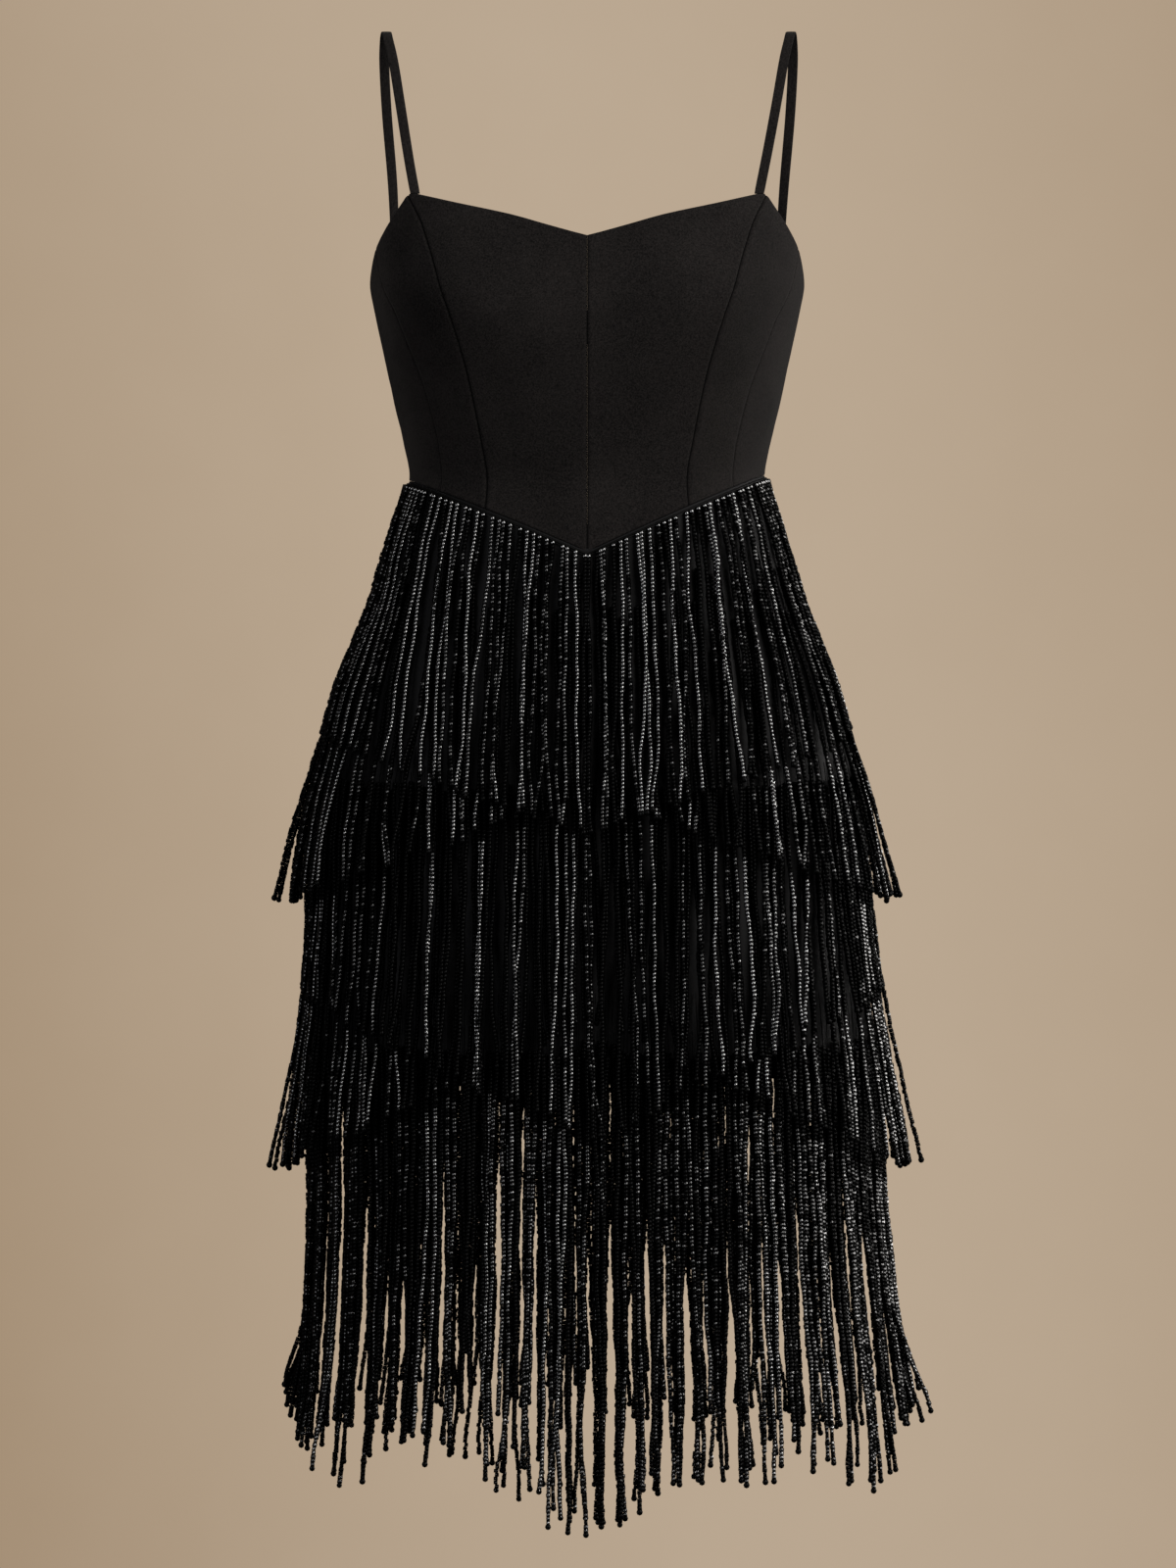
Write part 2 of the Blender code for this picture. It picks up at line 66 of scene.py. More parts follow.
# level, half width, depth to the front, depth to the back, squareness of the corners
GIRTHS = (
    (-0.100, 0.1480, 0.0960, 0.0930, 0.090),
    (-0.145, 0.1525, 0.1090, 0.0980, 0.085),
    (-0.180, 0.1530, 0.1170, 0.1000, 0.070),
    (-0.200, 0.1495, 0.1190, 0.0990, 0.055),
    (-0.228, 0.1435, 0.1160, 0.0950, 0.045),
    (-0.263, 0.1360, 0.1080, 0.0895, 0.035),
    (-0.293, 0.1290, 0.1010, 0.0860, 0.030),
    (-0.316, 0.1252, 0.0970, 0.0855, 0.030),
    (-0.345, 0.1325, 0.0985, 0.0920, 0.030),
    (-0.393, 0.1460, 0.1050, 0.1070, 0.035),
    (-0.428, 0.1590, 0.1110, 0.1180, 0.040),
    (-0.455, 0.1700, 0.1160, 0.1260, 0.045),
    (-0.483, 0.1775, 0.1200, 0.1310, 0.050),
    (-0.524, 0.1855, 0.1250, 0.1350, 0.050),
    (-0.566, 0.1900, 0.1290, 0.1360, 0.045),
    (-0.611, 0.1920, 0.1320, 0.1360, 0.040),
    (-0.669, 0.1935, 0.1350, 0.1370, 0.035),
    (-0.738, 0.1950, 0.1370, 0.1380, 0.030),
    (-0.860, 0.1965, 0.1385, 0.1390, 0.030),
    (-1.070, 0.1980, 0.1400, 0.1400, 0.030),
)
# level, how far the skirt swings to +X
SWAYS = (
    (-0.566, 0.0), (-0.669, 0.0030), (-0.773, 0.0055),
    (-0.876, 0.0085), (-0.980, 0.0115), (-1.070, 0.0120),
)
BUST_FULLNESS = 0.0080
BUST_LEVEL = -0.1950
BUST_HEIGHT = 0.0420
BUST_TURN = math.radians(33)
BUST_SPREAD = math.radians(17)
# turn in degrees, level of the bodice's top edge
TOP_EDGE = (
    (0, -0.1462), (4.5, -0.1431), (11.5, -0.1379), (20, -0.1314),
    (32, -0.1245), (47.0, -0.1170), (50.5, -0.1172), (55.3, -0.1280),
    (61.6, -0.1408), (71, -0.1566), (79, -0.1700), (90, -0.1815),
    (105, -0.1865), (125, -0.1880), (150, -0.1915), (180, -0.1950),
)
# level, turn in degrees of each seam of the bodice
CENTER_FRONT = ((-0.117, 0), (-0.335, 0))
PRINCESS_SEAM = (
    (-0.117, 51), (-0.134, 45.5), (-0.148, 42.6), (-0.168, 39.4), (-0.190, 37.0),
    (-0.212, 35.7), (-0.235, 35.1), (-0.260, 34.7), (-0.295, 34.0), (-0.335, 32.6),
)
UNDERARM_SEAM = (
    (-0.155, 70), (-0.185, 63.5), (-0.208, 58.8), (-0.222, 56.6), (-0.242, 54.0),
    (-0.263, 52.6), (-0.286, 52.2), (-0.316, 52.6), (-0.335, 52.6),
)
BACK_SEAM = ((-0.180, 116), (-0.240, 122), (-0.316, 126.4), (-0.335, 126.4))
CENTER_BACK = ((-0.117, 180), (-0.335, 180))
# how far the lower layer of each tier hangs off the slip, by level
TIER_1 = (
    (-0.300, 0.0004), (-0.428, 0.0006), (-0.455, 0.0010),
    (-0.483, 0.0022), (-0.524, 0.0070), (-0.566, 0.0130),
    (-0.611, 0.0195), (-0.640, 0.0225),
)
TIER_2 = (
    (-0.500, 0.0004), (-0.566, 0.0006), (-0.632, 0.0035), (-0.664, 0.0070),
    (-0.711, 0.0125), (-0.749, 0.0180), (-0.778, 0.0225), (-0.810, 0.0265),
)
TIER_3 = (
    (-0.680, 0.0004), (-0.807, 0.0004), (-0.856, 0.0025), (-0.914, 0.0065),
    (-0.970, 0.0115), (-1.028, 0.0165), (-1.070, 0.0195),
)


def mix(start, end, share):
    return start + (end - start) * share


def ease(share):
    """A share from 0 to 1 that starts and ends slowly."""
    share = np.clip(share, 0, 1)
    return share * share * (3 - 2 * share)


def read(rows, places, column=1):
    """A column of a table at many places, on a smooth curve through its rows."""
    rows = np.array(sorted(rows), float)
    at, values = rows[:, 0], rows[:, column]
    index = np.arange(len(at))
    before, after = np.maximum(index - 1, 0), np.minimum(index + 1, len(at) - 1)
    slopes = (values[after] - values[before]) / (at[after] - at[before])
    places = np.clip(places, at[0], at[-1])
    row = np.clip(np.searchsorted(at, places, side="right") - 1, 0, len(at) - 2)
    span = at[row + 1] - at[row]
    share = (places - at[row]) / span
    rise = values[row + 1] - values[row]
    start, end = slopes[row] * span - rise, rise - slopes[row + 1] * span
    return values[row] + rise * share + share * (1 - share) * (start * (1 - share) + end * share)


def skin(turn, z, out=0.0):
    """Points of the dress's outer face, moved out by a distance."""
    turn, z, out = np.broadcast_arrays(turn, z, out)
    half_width, front, back, corner = (read(GIRTHS, z, column) for column in range(1, 5))
    depth = np.where(np.cos(turn) > 0, front, back)
    square = 1 + corner * np.sin(2 * turn) ** 2
    side = (np.abs(np.arctan2(np.sin(turn), np.cos(turn))) - BUST_TURN) / BUST_SPREAD
    cup = BUST_FULLNESS * np.exp(-(side**2) - ((z - BUST_LEVEL) / BUST_HEIGHT) ** 2)
    x = ((half_width + out) * square + cup) * np.sin(turn) + read(SWAYS, z)
    y = -((depth + out) * square + cup) * np.cos(turn)
    return np.stack([x, y, z], axis=-1)


def along_skin(turn, z, out=0.0):
    """How a point moves as its turn grows, in metres a radian."""
    step = 0.001
    return (skin(turn + step, z, out) - skin(turn - step, z, out)) / (2 * step)


def length(vectors):
    return np.linalg.norm(vectors, axis=-1)


def unit(vectors):
    return vectors / length(vectors)[..., None]


def half_gap(turn, z):
    return SEAM_SHOWN / 2 / length(along_skin(turn, z))


def waist_seam(turn):
    drop = np.where(np.cos(turn) > 0, WAIST_DROP_FRONT, WAIST_DROP_BACK)
    return WAIST_SIDE + WAIST_TILT * np.sin(turn) - drop * (1 - np.abs(np.sin(turn))) ** WAIST_BOW


def top_edge(turn):
    return read(TOP_EDGE, np.degrees(np.abs(turn)))


# ---- Materials ----
class Wire:
    """A socket that is worked with as a number: each operator adds its Math node."""

    def __init__(self, finish, socket):
        self.finish, self.socket = finish, socket

    def work(self, operation, first, second=None):
        values = {0: first} if second is None else {0: first, 1: second}
        return self.finish.add("ShaderNodeMath", {"operation": operation}, values)

    def __add__(self, other):
        return self.work("ADD", self, other)

    __radd__ = __add__

    def __sub__(self, other):
        return self.work("SUBTRACT", self, other)

    def __mul__(self, other):
        return self.work("MULTIPLY", self, other)

    __rmul__ = __mul__

    def __truediv__(self, other):
        return self.work("DIVIDE", self, other)

    def __rtruediv__(self, other):
        return self.work("DIVIDE", other, self)

    def __pow__(self, other):
        return self.work("POWER", self, other)

    def sine(self):
        return self.work("SINE", self)


class Finish:
    """A material being made from nodes."""

    def __init__(self, name):
        self.material = bpy.data.materials.new(name)
        self.material.use_nodes = True
        self.nodes = self.material.node_tree.nodes
        self.links = self.material.node_tree.links
        self.nodes.clear()

    def add(self, kind, settings=None, inputs=None, output=0):
        """A node of a type, with its settings and the values or wires of its sockets."""
        node = self.nodes.new(kind)
        for name, value in (settings or {}).items():
            setattr(node, name, value)
        for name, value in (inputs or {}).items():
            if isinstance(value, Wire):
                self.links.new(value.socket, node.inputs[name])
            else:
                node.inputs[name].default_value = value
        return Wire(self, node.outputs[output]) if node.outputs else None

    def noise(self, place, size, detail=2.0, roughness=0.5):
        """A grain from 0 to 1 whose grains are about this big, in metres."""
        settings = {"noise_dimensions": "3D"}
        inputs = {"Vector": place, "Scale": 1 / size, "Detail": detail, "Roughness": roughness}
        return self.add("ShaderNodeTexNoise", settings, inputs)

    def blend(self, share, first, second):
        """A colour between two."""
        values = {0: share, 6: first, 7: second}
        values = {key: (*value, 1.0) if isinstance(value, tuple) else value for key, value in values.items()}
        return self.add("ShaderNodeMix", {"data_type": "RGBA"}, values, output=2)

    def close(self, values):
        """Ends the material in one Principled shader."""
        shader = self.add("ShaderNodeBsdfPrincipled", None, values)
        self.add("ShaderNodeOutputMaterial", None, {"Surface": shader})
        return self.material


def make_cloth(name, dark, light, roughness, weave, grain, depth, sheen, specular):
    """Woven cloth: threads both ways from the piece's own UV map in metres, and a slub over them."""
    cloth = Finish(name)
    flat = cloth.add("ShaderNodeTexCoord", output="UV")
    place = cloth.add("ShaderNodeTexCoord", output="Object")
    u = cloth.add("ShaderNodeSeparateXYZ", None, {0: flat}, output="X")
    v = cloth.add("ShaderNodeSeparateXYZ", None, {0: flat}, output="Y")
    threads = (u * (2 * math.pi / weave)).sine() * (v * (2 * math.pi / weave)).sine()
    slub = cloth.noise(place, grain, 3.0, 0.65)
    cloud = cloth.noise(place, grain * 45, 2.0, 0.5)
    tone = (slub - 0.5) * 2.4 + (cloud - 0.5) * 0.7 + threads * 0.12 + 0.5
    color = cloth.blend(cloth.add("ShaderNodeClamp", None, {0: tone}), dark, light)
    # painted shade: a near-black line blended in along each seam, where the seam valley lies in shade
    pressed = cloth.add("ShaderNodeAttribute", {"attribute_name": "pressed"}, output="Fac")
    color = cloth.blend(pressed, color, (0.0002, 0.0002, 0.0002))
    height = slub * 0.7 + threads * 0.3
    bump = {"Strength": 0.55, "Distance": depth, "Height": height}
    return cloth.close(
        {
            "Base Color": color,
            "Roughness": (slub - 0.5) * 0.2 + roughness,
            "Normal": cloth.add("ShaderNodeBump", None, bump),
            "Specular IOR Level": specular,
            "Sheen Weight": sheen,
            "Sheen Roughness": 0.45,
            "Sheen Tint": (0.9, 0.86, 0.82, 1.0),
        }
    )


def make_glass(name, color, roughness, ior):
    """Press-moulded black glass in copies that differ only in how bright their reflections are, and the waxed
    thread in it.
    """
    return Finish(name).close({"Base Color": (*color, 1.0), "Roughness": roughness, "IOR": ior})


def make_enamel(name):
    """Black enamel on metal, a little worn where hands pull it."""
    enamel = Finish(name)
    place = enamel.add("ShaderNodeTexCoord", output="Object")
    wear = enamel.noise(place, 0.0022, 4.0, 0.6)
    return enamel.close(
        {
            "Base Color": enamel.blend(wear**4.0, (0.010, 0.010, 0.011), (0.05, 0.05, 0.052)),
            "Roughness": wear * 0.25 + 0.22,
            "Metallic": 0.0,
            "Coat Weight": 0.4,
            "Coat Roughness": 0.12,
        }
    )


CREPE = make_cloth(
    "crepe",
    dark=(0.0008, 0.0007, 0.0007),
    light=(0.0135, 0.0116, 0.0110),
    roughness=0.9,
    weave=0.0007,
    grain=0.0012,
    depth=0.00016,
    sheen=0.02,
    specular=0.06,
)
SLIP_CLOTH = make_cloth(
    "slip_cloth",
    dark=(0.0014, 0.0014, 0.0015),
    light=(0.0042, 0.0040, 0.0043),
    roughness=0.60,
    weave=0.0004,
    grain=0.0016,
    depth=0.00004,
    sheen=0.0,
    specular=0.08,
)
TAPE_CLOTH = make_cloth(
    "tape",
    dark=(0.0006, 0.0006, 0.0006),
    light=(0.0020, 0.0019, 0.0018),
    roughness=0.50,
    weave=0.0008,
    grain=0.0012,
    depth=0.00004,
    sheen=0.0,
    specular=0.07,
)
# painted light and shade: one black glass in three copies, whose IOR alone makes their reflections dull, plain or
# bright
DULL_JET = make_glass("dull_jet_glass", (0.0008, 0.0008, 0.0008), 0.26, 1.12)
JET = make_glass("jet_glass", (0.0008, 0.0008, 0.0009), 0.22, 1.58)
BRIGHT_JET = make_glass("bright_jet_glass", (0.0010, 0.0010, 0.0011), 0.20, 2.25)
THREAD = make_glass("bead_thread", (0.0008, 0.0008, 0.0008), 0.70, 1.10)
ENAMEL = make_enamel("zip_enamel")


# ---- Cloth walls ----
def take(thing):
    """Makes a thing the only one that is selected, and active."""
    bpy.ops.object.select_all(action="DESELECT")
    thing.hide_set(False)
    thing.select_set(True)
    bpy.context.view_layer.objects.active = thing
    return thing


SOFT_ANGLE = 55


def lay_cloth(name, material, face, lining, flat, ring=False, pressed=None):
    """A cut piece as a closed wall: a grid of points for its face, one for its lining side, and its
    flat cut in metres. A ring closes on itself across its columns. A seam mask, if given, darkens
    it along its seams: painted shade where the seam valleys lie in shade."""
    columns, rows = face.shape[:2]
    index = np.arange(columns * rows).reshape(columns, rows)
    if ring:
        index = np.concatenate([index, index[:1]])
    quads = np.stack([index[:-1, :-1], index[1:, :-1], index[1:, 1:], index[:-1, 1:]], -1).reshape(-1, 4)
    rims = [index[:, 0], index[::-1, -1]]
    if not ring:
        rims += [index[0, ::-1], index[-1]]
    count = columns * rows
    walls = [np.stack([rim[:-1], rim[:-1] + count, rim[1:] + count, rim[1:]], -1) for rim in rims]
    faces = np.concatenate([quads, quads[:, ::-1] + count, *walls])
    points = np.concatenate([face.reshape(-1, 3), lining.reshape(-1, 3)])
    mesh = bpy.data.meshes.new(name)
    mesh.from_pydata(points.tolist(), [], faces.tolist())
    corners = np.empty(len(mesh.loops), np.int32)
    mesh.loops.foreach_get("vertex_index", corners)
    cut = np.concatenate([flat.reshape(-1, 2)] * 2)[corners]
    mesh.uv_layers.new(name="flat_cut").data.foreach_set("uv", cut.astype(np.float32).ravel())
    # painted shade along the seams, stored on the points for the material
    if pressed is not None:
        dark = np.concatenate([pressed.ravel()] * 2).astype(np.float32)
        mesh.attributes.new("pressed", "FLOAT", "POINT").data.foreach_set("value", dark)
    mesh.materials.append(material)
    piece = bpy.data.objects.new(name, mesh)
    bpy.context.scene.collection.objects.link(piece)
    take(piece)
    bpy.ops.object.mode_set(mode="EDIT")
    bpy.ops.mesh.select_all(action="SELECT")
    bpy.ops.mesh.normals_make_consistent(inside=False)
    bpy.ops.object.mode_set(mode="OBJECT")
    bpy.ops.object.shade_smooth_by_angle(angle=math.radians(SOFT_ANGLE))
    return piece


EDGE_STEPS = (0.0, 0.0004, 0.0008, 0.0013, 0.0019, 0.0027, 0.0039, 0.0056, 0.0080)


def steps_between(span, pitch):
    """Shares of a span: close together beside both edges, and about a pitch apart between."""
    near = np.array(EDGE_STEPS)
    count = max(int((span - 2 * near[-1]) / pitch), 2)
    middle = np.linspace(near[-1], span - near[-1], count + 1)
    return np.concatenate([near[:-1], middle, span - near[-2::-1]]) / span


def beside_seam(distance):
    """A thin valley at a seam, and a soft rise over the edges that are ironed open behind it."""
    valley = -0.00080 * np.exp(-((distance / 0.0008) ** 2))
    return valley + 0.00026 * np.exp(-(((distance - 0.0030) / 0.0020) ** 2))


def rolled(distance):
    """How an edge that is turned in rounds away."""
    return -0.00045 * np.exp(-((distance / 0.00045) ** 2))


# ---- Bodice ----
BODICE_PITCH = 0.0056
SETTLE_STEPS = 12
# how wide the painted shade along each seam is, in metres
PAINTED_SEAM_WIDTH = 0.0006
# the underarm seam's valley and its painted shade are this share of the other seams'
FAINT_SEAM = 0.35

# turn in degrees, level, lean of its line in degrees, half length, half width, depth
BODICE_CREASES = (
    (58, -0.207, 62, 0.030, 0.0060, -0.0010),
    (66, -0.226, 70, 0.034, 0.0055, 0.0007),
    (73, -0.250, 76, 0.036, 0.0060, -0.0007),
    (30, -0.262, 12, 0.040, 0.0100, -0.0006),
    (17, -0.290, 84, 0.026, 0.0070, 0.0005),
    (45, -0.297, 80, 0.030, 0.0060, -0.0005),
    (62, -0.302, 82, 0.034, 0.0050, 0.0006),
    (75, -0.285, 78, 0.032, 0.0060, -0.0006),
    (-56, -0.204, -60, 0.030, 0.0060, -0.0010),
    (-68, -0.231, -68, 0.032, 0.0060, 0.0007),
    (-74, -0.262, -78, 0.036, 0.0055, -0.0008),
    (-27, -0.255, -14, 0.042, 0.0100, -0.0007),
    (-20, -0.300, -82, 0.028, 0.0070, 0.0005),
    (-47, -0.291, -78, 0.030, 0.0060, -0.0006),
    (-63, -0.305, -84, 0.032, 0.0050, 0.0006),
    (8, -0.212, 88, 0.040, 0.0120, -0.0006),
    (-9, -0.222, 86, 0.038, 0.0120, 0.0005),
    (135, -0.262, 80, 0.040, 0.0080, -0.0009),
    (150, -0.285, 84, 0.036, 0.0070, 0.0007),
    (-138, -0.270, 82, 0.040, 0.0080, -0.0009),
    (-155, -0.292, 86, 0.034, 0.0070, 0.0007),
    (100, -0.292, 84, 0.034, 0.0060, -0.0006),
    (-102, -0.286, 82, 0.034, 0.0060, -0.0006),
)


def soft_creases(turn, z, creases):
    """The creases of a piece of cloth, as a distance out."""
    out = np.zeros(np.broadcast(turn, z).shape)
    for turn_deg, level, lean, half_length, half_width, depth in creases:
        middle = math.radians(turn_deg)
        round_it = np.arctan2(np.sin(turn - middle), np.cos(turn - middle)) * 0.14
        lean = math.radians(lean)
        run = (z - level) * math.cos(lean) + round_it * math.sin(lean)
        off = round_it * math.cos(lean) - (z - level) * math.sin(lean)
        out += depth * np.exp(-((run / half_length) ** 2) - (off / half_width) ** 2)
    return out


def add_panel(name, left, right, side):
    """One panel of the bodice between two seams. Side is 1 for +X or -1 for its mirror image."""
    middle = math.radians(mix(read(left, -0.25), read(right, -0.25), 0.5))
    turned = math.radians(read(right, -0.25) - read(left, -0.25))
    across = steps_between(turned * length(along_skin(middle, -0.25)), BODICE_PITCH)[:, None]
    up = steps_between(float(top_edge(middle) - waist_seam(side * middle)), BODICE_PITCH)[None, :]
    turn = mix(math.radians(left[-1][1]), math.radians(right[-1][1]), across)
    for _ in range(SETTLE_STEPS):
        z = mix(waist_seam(side * turn) + SEAM_GAP / 2, top_edge(turn), up)
        start, end = np.radians(read(left, z)), np.radians(read(right, z))
        turn = mix(start + half_gap(start, z), end - half_gap(end, z), across)
    width = (end - start) * length(along_skin(turn, z))
    height = top_edge(turn) - waist_seam(side * turn)
    starts, ends = [FAINT_SEAM if seam is UNDERARM_SEAM else 1.0 for seam in (left, right)]
    out = starts * beside_seam(across * width) + ends * beside_seam((1 - across) * width)
    out += rolled((1 - up) * height) + rolled(up * height)
    out += soft_creases(side * turn, z, BODICE_CREASES) * ease(np.minimum(up, 1 - up) * 9)
    face, lining = skin(side * turn, z, out), skin(side * turn, z, -BODICE_WALL)
    flat = np.stack(np.broadcast_arrays(side * across * width, z), -1)
    # painted shade along both seams of the panel, fainter at the underarm seam
    pressed = starts * np.exp(-((across * width / PAINTED_SEAM_WIDTH) ** 2))
    pressed = pressed + ends * np.exp(-(((1 - across) * width / PAINTED_SEAM_WIDTH) ** 2))
    return lay_cloth(name, CREPE, face, lining, flat, pressed=np.clip(pressed, 0, 1))


# each panel's seams, then the width, length and area of its cut, measured on the finished panels
PANELS = (
    ("center_front", CENTER_FRONT, PRINCESS_SEAM, 0.115, 0.225, 0.02088),
    ("side_front", PRINCESS_SEAM, UNDERARM_SEAM, 0.066, 0.205, 0.01026),
    ("underarm", UNDERARM_SEAM, BACK_SEAM, 0.129, 0.167, 0.01780),
    ("back", BACK_SEAM, CENTER_BACK, 0.152, 0.152, 0.01847),
)
bodice = {}
for panel_name, left_seam, right_seam, *_ in PANELS:
    for side in (-1, 1):
        panel = f"{panel_name}_{'right' if side > 0 else 'left'}"
        bodice[panel] = add_panel(f"bodice_{panel}", left_seam, right_seam, side)

# ---- Straps ----
STRAP_WIDTH = 0.0070
STRAP_THICK = 0.0012
STRAP_CLOTH = 0.00042
STRAP_FRONT_TURN = math.radians(48.1)
STRAP_BACK_TURN = math.radians(122)
STRAP_WAY = (
    (0.1259, -0.0575, -0.0900),
    (0.1328, -0.0410, -0.0500),
    (0.1377, -0.0250, -0.0210),
    (0.1409, -0.0130, -0.0070),
    (0.1424, 0.0, -0.0014),
    (0.1435, 0.0130, -0.0068),
    (0.1440, 0.0240, -0.0225),
    (0.1421, 0.0370, -0.0600),
    (0.1376, 0.0490, -0.1150),
)
# both straps lean this far to +X at the top
STRAP_LEAN = 0.0010
STRAP_ROWS = 72
STRAP_SIDES = 16


def add_strap(name, side):
    """A flat tube of crepe from the corner of the neckline over the shoulder to the back's top edge."""
    ends = [skin(t, float(top_edge(t)), -BODICE_WALL / 2) for t in (STRAP_FRONT_TURN, STRAP_BACK_TURN)]
    way = np.array([ends[0], *STRAP_WAY, ends[1]])
    runs = np.concatenate([[0], np.cumsum(length(np.diff(way, axis=0)))])
    run = np.linspace(0, runs[-1], STRAP_ROWS + 1)

    def middle(places):
        return np.stack([read(list(zip(runs, way[:, axis])), places) for axis in range(3)], -1)

    share = run / runs[-1]
    turn = np.where(share < 0.5, STRAP_FRONT_TURN, STRAP_BACK_TURN)
    edge = along_skin(turn, top_edge(turn))
    edge = unit(edge) * np.sign(edge[:, :1])
    turned = np.where(share < 0.5, mix(0.6, 1.0, ease(run / 0.006)), np.sin(math.pi * share))
    wide = unit(mix(edge, np.array([1.0, 0, 0]), turned[:, None]))
    tangent = unit(middle(run + 0.0005) - middle(run - 0.0005))
    thick = unit(np.cross(wide, tangent))
    lift = 0.0004 * np.sin(run / 0.031) + 0.0003 * np.sin(run / 0.013 + 1.0)
    centre = middle(run) + thick * (lift * np.sin(math.pi * share))[:, None]

    def tube(inset):
        angle = np.arange(STRAP_SIDES) * 2 * math.pi / STRAP_SIDES
        cosine, sine = np.cos(angle), np.sin(angle)
        reach = np.sign(cosine) * np.abs(cosine) ** 0.55 * (STRAP_WIDTH / 2 - inset)
        rise = np.sign(sine) * np.abs(sine) ** 0.75 * (STRAP_THICK / 2 - inset)
        points = centre + wide * reach[:, None, None] + thick * rise[:, None, None]
        lean = STRAP_LEAN * ease(np.sin(math.pi * share) * 1.2)[:, None] * np.array([1, 0, 0])
        return points * np.array([side, 1, 1]) + lean

    around = np.arange(STRAP_SIDES)[:, None] * 2 * STRAP_WIDTH / STRAP_SIDES
    flat = np.stack(np.broadcast_arrays(around, run[None, :]), -1)
    return lay_cloth(name, CREPE, tube(0.0), tube(STRAP_CLOTH), flat, ring=True)


straps = {f"strap_{word}": add_strap(f"shoulder_strap_{word}", side) for word, side in (("left", -1), ("right", 1))}

# ---- Slip and waist tape ----
STRETCHES = {
    "front": (-math.pi / 2, math.pi / 2),
    "back_right": (math.pi / 2, math.pi),
    "back_left": (math.pi, 3 * math.pi / 2),
}
SLIP_PITCH = 0.0095
SLIP_FALL = 0.40
# turn in degrees, level, lean of its line in degrees, half length, half width, depth
SLIP_CREASES = (
    (-62, -0.560, 0, 0.150, 0.0100, -0.0030),
    (-38, -0.640, 3, 0.120, 0.0090, -0.0026),
    (-17, -0.600, -2, 0.130, 0.0110, -0.0024),
    (6, -0.660, 0, 0.110, 0.0090, -0.0028),
    (27, -0.590, 2, 0.140, 0.0100, -0.0022),
    (45, -0.650, -3, 0.120, 0.0090, -0.0030),
    (68, -0.600, 0, 0.150, 0.0110, -0.0028),
    (100, -0.620, 0, 0.140, 0.0110, -0.0026),
    (122, -0.650, 2, 0.120, 0.0090, -0.0030),
    (148, -0.610, -2, 0.140, 0.0100, -0.0024),
    (170, -0.660, 0, 0.110, 0.0090, -0.0026),
    (-171, -0.640, 0, 0.120, 0.0100, -0.0026),
    (-146, -0.600, 2, 0.140, 0.0100, -0.0028),
    (-120, -0.650, -2, 0.120, 0.0090, -0.0026),
    (-99, -0.610, 0, 0.150, 0.0110, -0.0028),
)


def add_slip(name, start, end):
    """A piece of the slip from the waist seam to its hem, which falls in soft flutes."""
    around = (end - start) * float(length(along_skin(1.2, -0.55)))
    across = steps_between(around, SLIP_PITCH)[:, None]
    down = steps_between(SLIP_FALL, SLIP_PITCH)[None, :]
    turn = mix(start, end, across)
    top = waist_seam(turn) - SEAM_GAP / 2
    z = mix(top, SLIP_HEM, down)
    ends = (across == 0) * 1.0 - (across == 1) * 1.0
    turn = turn + ends * half_gap(turn, z)
    width = (end - start) * length(along_skin(turn, z))
    out = np.minimum(beside_seam(across * width) + beside_seam((1 - across) * width), 0.0)
    hem = rolled((1 - down) * SLIP_FALL) + rolled(down * SLIP_FALL)
    fold = -0.0005 * np.exp(-(((z - SLIP_HEM - 0.012) / 0.0012) ** 2))
    out = out + hem + fold + soft_creases(turn, z, SLIP_CREASES)
    face, lining = skin(turn, z, out), skin(turn, z, np.minimum(out, 0) - SLIP_WALL)
    flat = np.stack(np.broadcast_arrays(across * around, z), -1)
    return lay_cloth(name, SLIP_CLOTH, face, lining, flat)


TAPE_COLUMN = 0.0035
TAPE_RIB = 0.62


def add_tape(name, start, end):
    """The narrow tape under the waist seam that carries the first strands."""
    count = int((end - start) * float(length(along_skin(1.2, -0.34))) / TAPE_COLUMN)
    turn = np.linspace(start, end, count + 1)[:, None]
    turn = turn + ((turn == turn[0]) * 1.0 - (turn == turn[-1]) * 1.0) * half_gap(turn, -0.34)
    share = np.array([0.0, 0.08, 0.2, 0.31, 0.44, 0.56, TAPE_RIB, 1.0])[None, :]
    z = waist_seam(turn) - TAPE_BELOW_SEAM - TAPE_HEIGHT * share
    rib = np.sin(math.pi * np.clip(share / TAPE_RIB, 0, 1))
    bulge = TAPE_WALL * np.where(share < TAPE_RIB, 0.25 + 0.75 * rib, 0.25)
    face, lining = skin(turn, z, SEAT_GAP + bulge), skin(turn, z, SEAT_GAP)
    flat = np.stack(np.broadcast_arrays(turn * 0.13, share * TAPE_HEIGHT), -1)
    return lay_cloth(name, TAPE_CLOTH, face, lining, flat)


slips = {key: add_slip(f"slip_cloth_{key}", *ends) for key, ends in STRETCHES.items()}
tapes = {key: add_tape(f"strand_tape_{key}", *ends) for key, ends in STRETCHES.items()}

# ---- Strung beads ----
BEAD_PITCH = 0.00274
BEAD_DEPTH = 0.00270
BEAD_GIRTHS = {3: 0.00185, 4: 0.00172}
BEAD_RADIUS = 0.00160
BARE_CORD = 0.0003
END_BEAD = 1.40
HEAD_BEAD = 1.20
# a bead's share picks its glass: the dullest, as painted shade, below the first, and the brightest, as painted
# highlight, above the second
DULL_BELOW = 0.36
BRIGHT_ABOVE = 0.65
GLEAM_SPREAD = 0.19
# how far a bead is turned and tilted on its string, in radians, and how its size varies
SPIN_SPREAD = 0.8
BEAD_TILT = 0.13
BEAD_LEAST, BEAD_MOST = (0.93, 0.93, 0.94), (1.06, 1.06, 1.04)
